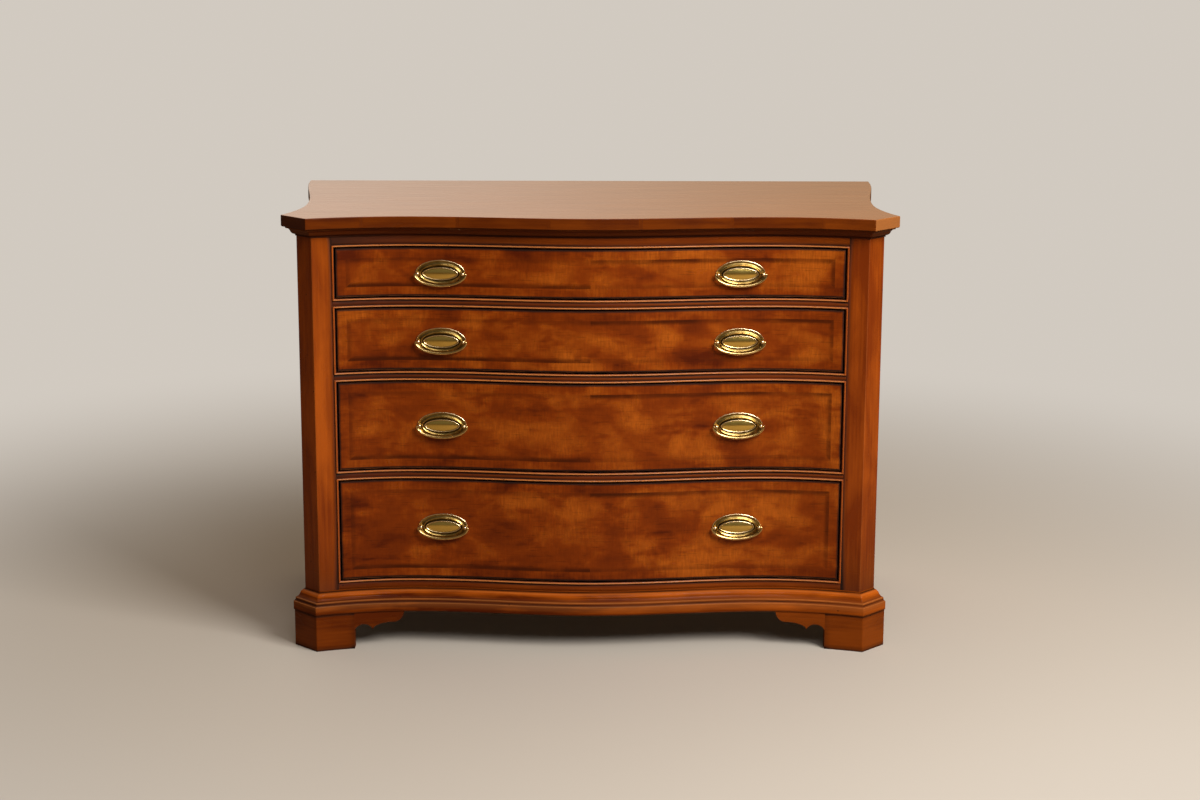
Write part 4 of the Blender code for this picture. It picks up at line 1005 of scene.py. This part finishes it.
def makeRearFoot(label, side):
    # rear foot: a side wing, the side wall and a return along the back, closed at its end
    node, outside, thick = f"rear_{label}_foot", plan["footInset"], bracket["wall"]
    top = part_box(node)[1].z
    run = bracketLine(top)[:, 0]
    sideStart, spring = backDepth - bracket["rear"], top - bracket["drop"]
    returnEnd = plan["frontCorner"] + plan["cant"] + plan["backSwell"] - bracket["rearWing"]
    lines = []
    for inset, back in ((outside, backDepth), (outside + thick, backDepth - thick)):
        wall = sideLine(np.linspace(sideStart, back, 16), inset)
        leg = np.linspace(wall[-1], (returnEnd, back), 8)[1:]
        parts = (sideLine(sideStart - run, inset), np.concatenate([wall, leg]))
        lines.append([part * (side, 1) for part in parts])
    heights = np.append(np.linspace(0, spring, 6), np.linspace(spring, top, 7)[1:])
    end = patch(np.stack([place3(line[1][-1:], heights) for line in lines]))
    makeFoot(node, lines, (wingPatches, bodyPatches), [bracket["lean"] * side] * 2, [end])


for label, side in (("left", -1), ("right", 1)):
    makeStile(label, side)
    makeSidePanel(label, side)
    makeFrontFoot(label, side)
    makeRearFoot(label, side)
print("posts, sides and feet made")

drawerFace = dict(proud=0.0018, lap=0.0002, thickness=0.003, ease=0.0011)


def makeDrawerFace(number):
    # veneered face laid on the front: an eased profile of (inset, height) carried along the serpentine
    boxLow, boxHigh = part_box(f"drawer_{number}_front")
    lap, ease = drawerFace["lap"], drawerFace["ease"]
    low, high, half = boxLow.z - lap, boxHigh.z + lap, boxHigh.x + lap
    face = carcassFace - drawerFace["proud"]
    rear = face + drawerFace["thickness"]
    middle = np.linspace(-half + ease, half - ease, fineness["face"])
    x = np.concatenate([[-half, -half + ease * 0.3], middle, [half - ease * 0.3, half]])
    beyond = np.clip(ease - (half - np.abs(x)), 0, ease) / ease
    endEase = ease * (1 - np.sqrt(np.clip(1 - beyond ** 2, 0, 1)))
    lower = profileArc((face + ease, low), (face, low + ease), False, 4)
    flat = np.linspace((face, low + ease), (face, high - ease), 9)[1:]
    upper = profileArc((face, high - ease), (face + ease, high), False, 4)
    foot, head = [(rear, low), (face + ease, low)], [(rear, high), (rear, low)]
    profile = np.concatenate([foot, lower, flat, upper, head])
    inset, z = profile[:, :1], profile[:, 1:]
    points = onFront(x, np.maximum(inset, face + endEase), z)
    place = spread(x, z - low, high - low)
    ends = [flatCap(points[:-1, end], (1, 2), place[:-1, end]) for end in (0, -1)]
    makePiece(f"drawer_{number}_face", [patch(points, tone=place)], figuredVeneer, ends, f"drawer_{number}",
              attribute="place")


for number in drawers:
    makeDrawerFace(number)
print("drawer faces made")

# rim, ring and boss are profiles of (in from the outline, out, hollow); a point of 0.5 is a true oval
pull = dict(
    halfWidth=0.0474, halfHeight=0.0263, rimPoint=0.5, ringWidth=0.0378, ringHeight=0.0180, ringPoint=0.53,
    bossWidth=0.0340, bossHeight=0.0127, bossPoint=0.56, axisOut=0.0075, postAt=0.0425,
    rim=[(0, 0, 0.5), (0, 0.0010, 0), (0.0002, 0.0017, 0), (0.0007, 0.0023, 0), (0.0013, 0.0024, 0),
         (0.0019, 0.0021, 0), (0.0024, 0.0014, 0.75), (0.0029, 0.0013, 0.35)],
    ring=[(-0.0007, 0.0030, 0), (0, 0.0034, 0), (0.0007, 0.0031, 0), (0.0013, 0.0023, 0.25)],
    boss=[(0, 0.0022, 0.9), (0.0003, 0.0034, 0), (0.0008, 0.0041, 0), (0.0014, 0.0042, 0),
          (0.0020, 0.0038, 0), (0.0026, 0.0029, 0.5)],
    bandGap=0.0011, bandFoot=0.0013, bandSag=0.0004, bandRise=0.0010, bandHollow=0.58,
    dishGap=0.0016, dishFoot=0.0002, dishRim=0.0021, dishSag=0.0010, dishHollow=0.68,
    domeRise=0.0017, golden=0.9, crests=[2, 3, 4, 25, 26, 27, 28], dome=30,
    post=[(0.0042, 0.0008), (0.0040, 0.0018), (0.0030, 0.0026), (0.0025, 0.0036), (0.0026, 0.0042)],
    ball=0.0036, cap=0.0037, stemFoot=0.0012, stemShade=0.003, stemShadeAmount=0.9,
    postShadeIn=0.001, postShadeAcross=0.0040, postShadeUp=0.0050,
)


def plateSurface():
    # rings of (half width, half height, out, point, hollow) from the rim over a hollow band, a raised ring
    # and a dish in to the boss and its low dome; up runs as the sine's size to the power of twice the point
    outline = np.array([pull["halfWidth"], pull["halfHeight"]])
    ring = np.array([pull["ringWidth"], pull["ringHeight"]])
    boss = np.array([pull["bossWidth"], pull["bossHeight"]])
    rimPoint, ringPoint, bossPoint = pull["rimPoint"], pull["ringPoint"], pull["bossPoint"]
    steps = np.linspace(0, 1, 7)[1:, None]
    bandStart, bandEnd = outline - pull["rim"][-1][0], ring + pull["bandGap"]
    bandOut = pull["bandFoot"] - pull["bandSag"] * np.sin(np.pi * steps) + pull["bandRise"] * steps ** 2
    dishStart, dishEnd = ring - pull["dishGap"], boss + pull["dishFoot"]
    dishOut = pull["dishRim"] - pull["dishSag"] * np.sin(np.pi * steps / 2)
    domeStart, domeOut, _ = pull["boss"][-1]
    fall = 1 - np.linspace(0.1, 1, 11)[:, None]
    rings = [(*(outline - inward), out, rimPoint, hollow) for inward, out, hollow in pull["rim"]]
    rings += np.hstack([bandStart + (bandEnd - bandStart) * steps, bandOut,
                        rimPoint + (ringPoint - rimPoint) * steps, pull["bandHollow"] + 0 * steps]).tolist()
    rings += [(*(ring - inward), out, ringPoint, hollow) for inward, out, hollow in pull["ring"]]
    rings += np.hstack([dishStart + (dishEnd - dishStart) * steps, dishOut,
                        ringPoint + (bossPoint - ringPoint) * steps,
                        pull["dishHollow"] + (1 - pull["dishHollow"]) * steps]).tolist()
    rings += [(*(boss - inward), out, bossPoint, hollow) for inward, out, hollow in pull["boss"]]
    rings += np.hstack([(boss - domeStart) * fall, domeOut + pull["domeRise"] * (1 - fall ** 2),
                        bossPoint + 0 * fall, 0 * fall]).tolist()
    wide, high, out, point, hollow = np.array(rings).T[:, :, None]
    turn = np.linspace(0, 2 * np.pi, 129)
    sine = np.sin(turn)
    across = wide * np.cos(turn)
    up = high * np.sign(sine) * np.abs(sine) ** (2 * point)
    points = spread(across, out - pull["axisOut"], up)
    # painted shade round the foot of each post, where the crests lose their painted highlight
    fromPost = (np.abs(across) - pull["postAt"] + pull["postShadeIn"]) / pull["postShadeAcross"]
    nearPost = np.exp(-fromPost ** 2 - (up / pull["postShadeUp"]) ** 2)
    tone = toning(points, np.maximum(hollow, nearPost))
    tone[pull["crests"], :, 1] = (1 - nearPost)[pull["crests"]]
    tone[pull["dome"]:, :, 2] = pull["golden"]
    return points, tone


def postSurface(side):
    # turned post from its foot out: a necked stem, a ball that carries the bail, and a small cap
    axisOut, ball, angle = pull["axisOut"], pull["ball"], np.linspace(-0.8, 1.35, 12)
    knob = np.stack([ball * np.cos(angle), axisOut + ball * np.sin(angle)], 1)
    profile = np.concatenate([pull["post"], knob, [(0.0, axisOut + pull["cap"])]])
    radius, out = profile[:, :1], profile[:, 1:]
    turn = np.linspace(0, 2 * np.pi, 33)
    points = spread(side * pull["postAt"] + radius * np.cos(turn), out - axisOut, radius * np.sin(turn))
    # painted shade where the stem meets the plate; the ball is rubbed bright as a painted highlight
    glazeAndShade = np.clip(1 - (out - pull["stemFoot"]) / pull["stemShade"], 0, pull["stemShadeAmount"])
    return points, toning(points, glazeAndShade, out > axisOut)


bail = dict(legAt=0.0484, drop=0.0222, start=0.16, pinRadius=0.0013, endRadius=0.0019, middleRadius=0.0027,
            elbow=0.0024, corner=0.0002, pinIn=0.0030, rubbedAndLit=0.25)


def bailSurface():
    # pins in the posts, a tight elbow and a half oval that swells to the middle, as a tube of round sections
    reach, drop, thin = bail["legAt"], bail["drop"], bail["endRadius"]
    angle = np.linspace(bail["start"], np.pi / 2, 28)
    oval = np.stack([reach * np.cos(angle), -drop * np.sin(angle)], 1)
    elbow = bend(np.array([reach - bail["elbow"], 0.0]), np.array([reach + bail["corner"], 0.0]), oval[0])
    pin = np.linspace((pull["postAt"] - bail["pinIn"], 0.0), elbow[0], 6)[:-1]
    half = np.concatenate([pin, elbow[:-1], oval])
    fullness = np.clip(-half[:, 1] / drop, 0, 1)
    swelling = thin + (bail["middleRadius"] - thin) * fullness ** 0.8
    radius = np.where(fullness > 0, swelling, bail["pinRadius"])
    radius = np.convolve(np.pad(radius, 2, "edge"), np.ones(5) / 5, "valid")
    path = np.concatenate([half, half[-2::-1] * (-1, 1)])
    radius = np.concatenate([radius, radius[-2::-1]])[:, None]
    heading = np.gradient(path, axis=0)
    heading /= np.linalg.norm(heading, axis=1)[:, None]
    turn = np.linspace(0, 2 * np.pi, 25)
    shift = radius * np.cos(turn)
    across, up = path[:, :1] - shift * heading[:, 1:], path[:, 1:] + shift * heading[:, :1]
    return spread(across, radius * np.sin(turn), up)


def inPull(points, middle, along, out):
    # points (across, out from the hinge line, up) placed on the chest
    return middle + points[..., :1] * along + points[..., 1:2] * out + points[..., 2:] * (0.0, 0.0, 1.0)


def makePulls():
    # a plate with its two posts, and a bail, on the hinge line of each bail, read from the joints
    solids = [plateSurface(), postSurface(-1), postSurface(1)]
    tube = bailSurface()
    for joint in frame["joints"]:
        if joint["type"] != "hinge":
            continue
        name, drawer, along = joint["child"], joint["parent"], -np.array(joint["axis"], float)
        spot = (np.array(joint["pos_m"], float), along, np.array([along[1], -along[0], 0.0]))
        node = name.replace("_bail", "_plate")
        patches = [patch(inPull(points, *spot), tone=tone) for points, tone in solids]
        caps = [flatCap(points[0, :-1], (0, 2)) for points, _, _ in patches]
        makePiece(f"{node}_fine", patches, brass, caps, drawer, [node], sharp=50)
        # the bail is rubbed pale all over, a painted highlight
        body = patch(inPull(tube, *spot), tone=(0.0, bail["rubbedAndLit"], 0.0))
        ends = [flatCap(body[0][row, :-1], (1, 2)) for row in (0, -1)]
        makePiece(f"{name}_fine", [body], brass, ends, name, [name], sharp=50)


makePulls()
print("pulls made")

# inside pieces keep their solids and take a wood of their own
insidePieces = {
    "back_panel": "backWood", "top_rear_rail": "drawerBackWood", "base_rear_rail": "drawerBackWood",
}
drawerPieces = {
    "left_side": "drawerSideWood", "right_side": "drawerSideWood", "back": "drawerBackWood",
    "bottom": "drawerBottomWood", "front": "coreWood",
}
for number in drawers:
    insidePieces[f"dust_board_{number}"] = "dustWood"
    insidePieces.update({f"drawer_{number}_{part}": wood for part, wood in drawerPieces.items()})
for node, wood in insidePieces.items():
    materials = frame["nodes"][node].data.materials
    materials.clear()
    materials.append(insideWoods[wood])

floor = dict(
    radius=60.0, points=96, colour=(0.56, 0.51, 0.45), bounce=(0.30, 0.205, 0.115), far=(0.64, 0.59, 0.53),
    fadeFrom=0.7, fadeTo=2.6, roughness=0.75, specular=0.2,
)


def makeFloor():
    # a wide pale disc that fades to a plain backdrop colour away from the chest
    turn = np.linspace(0, 2 * np.pi, floor["points"] + 1)[:-1]
    rim = spread(np.cos(turn), np.sin(turn), 0.0) * floor["radius"]
    mesh = bpy.data.meshes.new("floor")
    mesh.from_pydata(rim, [], [list(range(len(rim)))])
    material, tree, shader = newMaterial("floorFinish", floor["roughness"], floor["specular"])
    away = put(tree, "ShaderNodeVectorMath", {0: objectPlace(tree)}, operation="LENGTH").outputs["Value"]
    seen = put(tree, "ShaderNodeLightPath").outputs["Is Camera Ray"]
    tree.links.new(mixColour(tree, seen, floor["bounce"], floor["colour"]), shader.inputs["Base Color"])
    glow = put(tree, "ShaderNodeEmission", {"Color": floor["far"]})
    share = times(tree, smooth(tree, away, floor["fadeFrom"], floor["fadeTo"]), seen)
    mixed = put(tree, "ShaderNodeMixShader", {0: share, 1: shader.outputs[0], 2: glow.outputs[0]})
    tree.links.new(mixed.outputs[0], tree.nodes["Material Output"].inputs[0])
    mesh.materials.append(material)
    addObject("floor", mesh)


makeFloor()

# studio light: key from the upper right, weak fill near the lens, and a strip high over the front
lamps = dict(
    key=dict(power=130.0, size=1.6, depth=1.6, azimuth=45.0, height=40.0, distance=3.4,
             colour=(1.0, 0.965, 0.92)),
    fill=dict(power=16.0, size=1.0, depth=1.0, azimuth=9.0, height=38.0, distance=4.2,
              colour=(1.0, 0.97, 0.94)),
    strip=dict(power=6.0, size=2.2, depth=0.35, azimuth=30.0, height=70.0, distance=2.5,
               colour=(1.0, 0.96, 0.90)),
)
aim = np.array([0.0, frontY, 0.45])


def standAt(thing, right, up, back, place):
    # turns a lamp or the camera to three axes and sets it at a place
    turn = np.eye(4)
    turn[:3] = np.stack([right, up, back, place], 1)
    thing.matrix_world = Matrix(turn.tolist())


def makeLamp(name, setup):
    azimuth, height = math.radians(setup["azimuth"]), math.radians(setup["height"])
    level = np.array([math.sin(azimuth), -math.cos(azimuth), 0.0]) * math.cos(height)
    away = level + (0.0, 0.0, math.sin(height))
    right = np.cross((0, 0, 1), away)
    right /= np.linalg.norm(right)
    light = bpy.data.lights.new(name, "AREA")
    light.energy = setup["power"]
    light.shape = "RECTANGLE"
    light.size = setup["size"]
    light.size_y = setup["depth"]
    light.color = setup["colour"]
    standAt(addObject(name, light), right, np.cross(away, right), away, aim + away * setup["distance"])


for name, setup in lamps.items():
    makeLamp(name, setup)

surround = dict(
    front=(0.125, 0.105, 0.078), left=(0.88, 0.735, 0.595), right=(0.455, 0.330, 0.200),
    seen=(0.64, 0.59, 0.53), depthFade=(0.05, 0.70), sideFade=(-0.16, 0.16), strength=1.0,
)


def makeWorld():
    # surroundings: dim in front of the chest, pale behind it, less so to the right
    world = bpy.data.worlds.new("studio")
    bpy.context.scene.world = world
    world.use_nodes = True
    tree = world.node_tree
    where = put(tree, "ShaderNodeTexCoord").outputs["Generated"]
    x, y, _ = put(tree, "ShaderNodeSeparateXYZ", {0: where}).outputs
    wall = mixColour(tree, smooth(tree, x, *surround["sideFade"]), surround["left"], surround["right"])
    colour = mixColour(tree, smooth(tree, y, *surround["depthFade"]), surround["front"], wall)
    seen = put(tree, "ShaderNodeLightPath").outputs["Is Camera Ray"]
    background = tree.nodes["Background"]
    tree.links.new(mixColour(tree, seen, colour, surround["seen"]), background.inputs["Color"])
    background.inputs["Strength"].default_value = surround["strength"]


makeWorld()

camera = dict(
    lens=69.38, sensor=36.0, place=(-0.0171, -4.4979, 1.4512), pitch=0.2222, yaw=0.0083, roll=0.0033,
)


def makeCamera():
    # right, down and forward of the lens: turned by yaw about the upright, then pitch, then roll
    cy, sy = math.cos(camera["yaw"]), math.sin(camera["yaw"])
    cp, sp = math.cos(camera["pitch"]), math.sin(camera["pitch"])
    cr, sr = math.cos(camera["roll"]), math.sin(camera["roll"])
    level = np.array([[1, 0, 0], [0, 0, -1], [0, 1, 0]]) @ np.array([[cy, -sy, 0], [sy, cy, 0], [0, 0, 1]])
    tilted = np.array([[1, 0, 0], [0, cp, -sp], [0, sp, cp]]) @ level
    right, down, forward = np.array([[cr, -sr, 0], [sr, cr, 0], [0, 0, 1]]) @ tilted
    data = bpy.data.cameras.new("camera")
    data.lens = camera["lens"]
    data.sensor_width = camera["sensor"]
    data.sensor_fit = "HORIZONTAL"
    lens = addObject("camera", data)
    standAt(lens, right, -down, -forward, camera["place"])
    bpy.context.scene.camera = lens


makeCamera()
bpy.context.scene.view_settings.view_transform = "Standard"
print("floor, light and camera made")
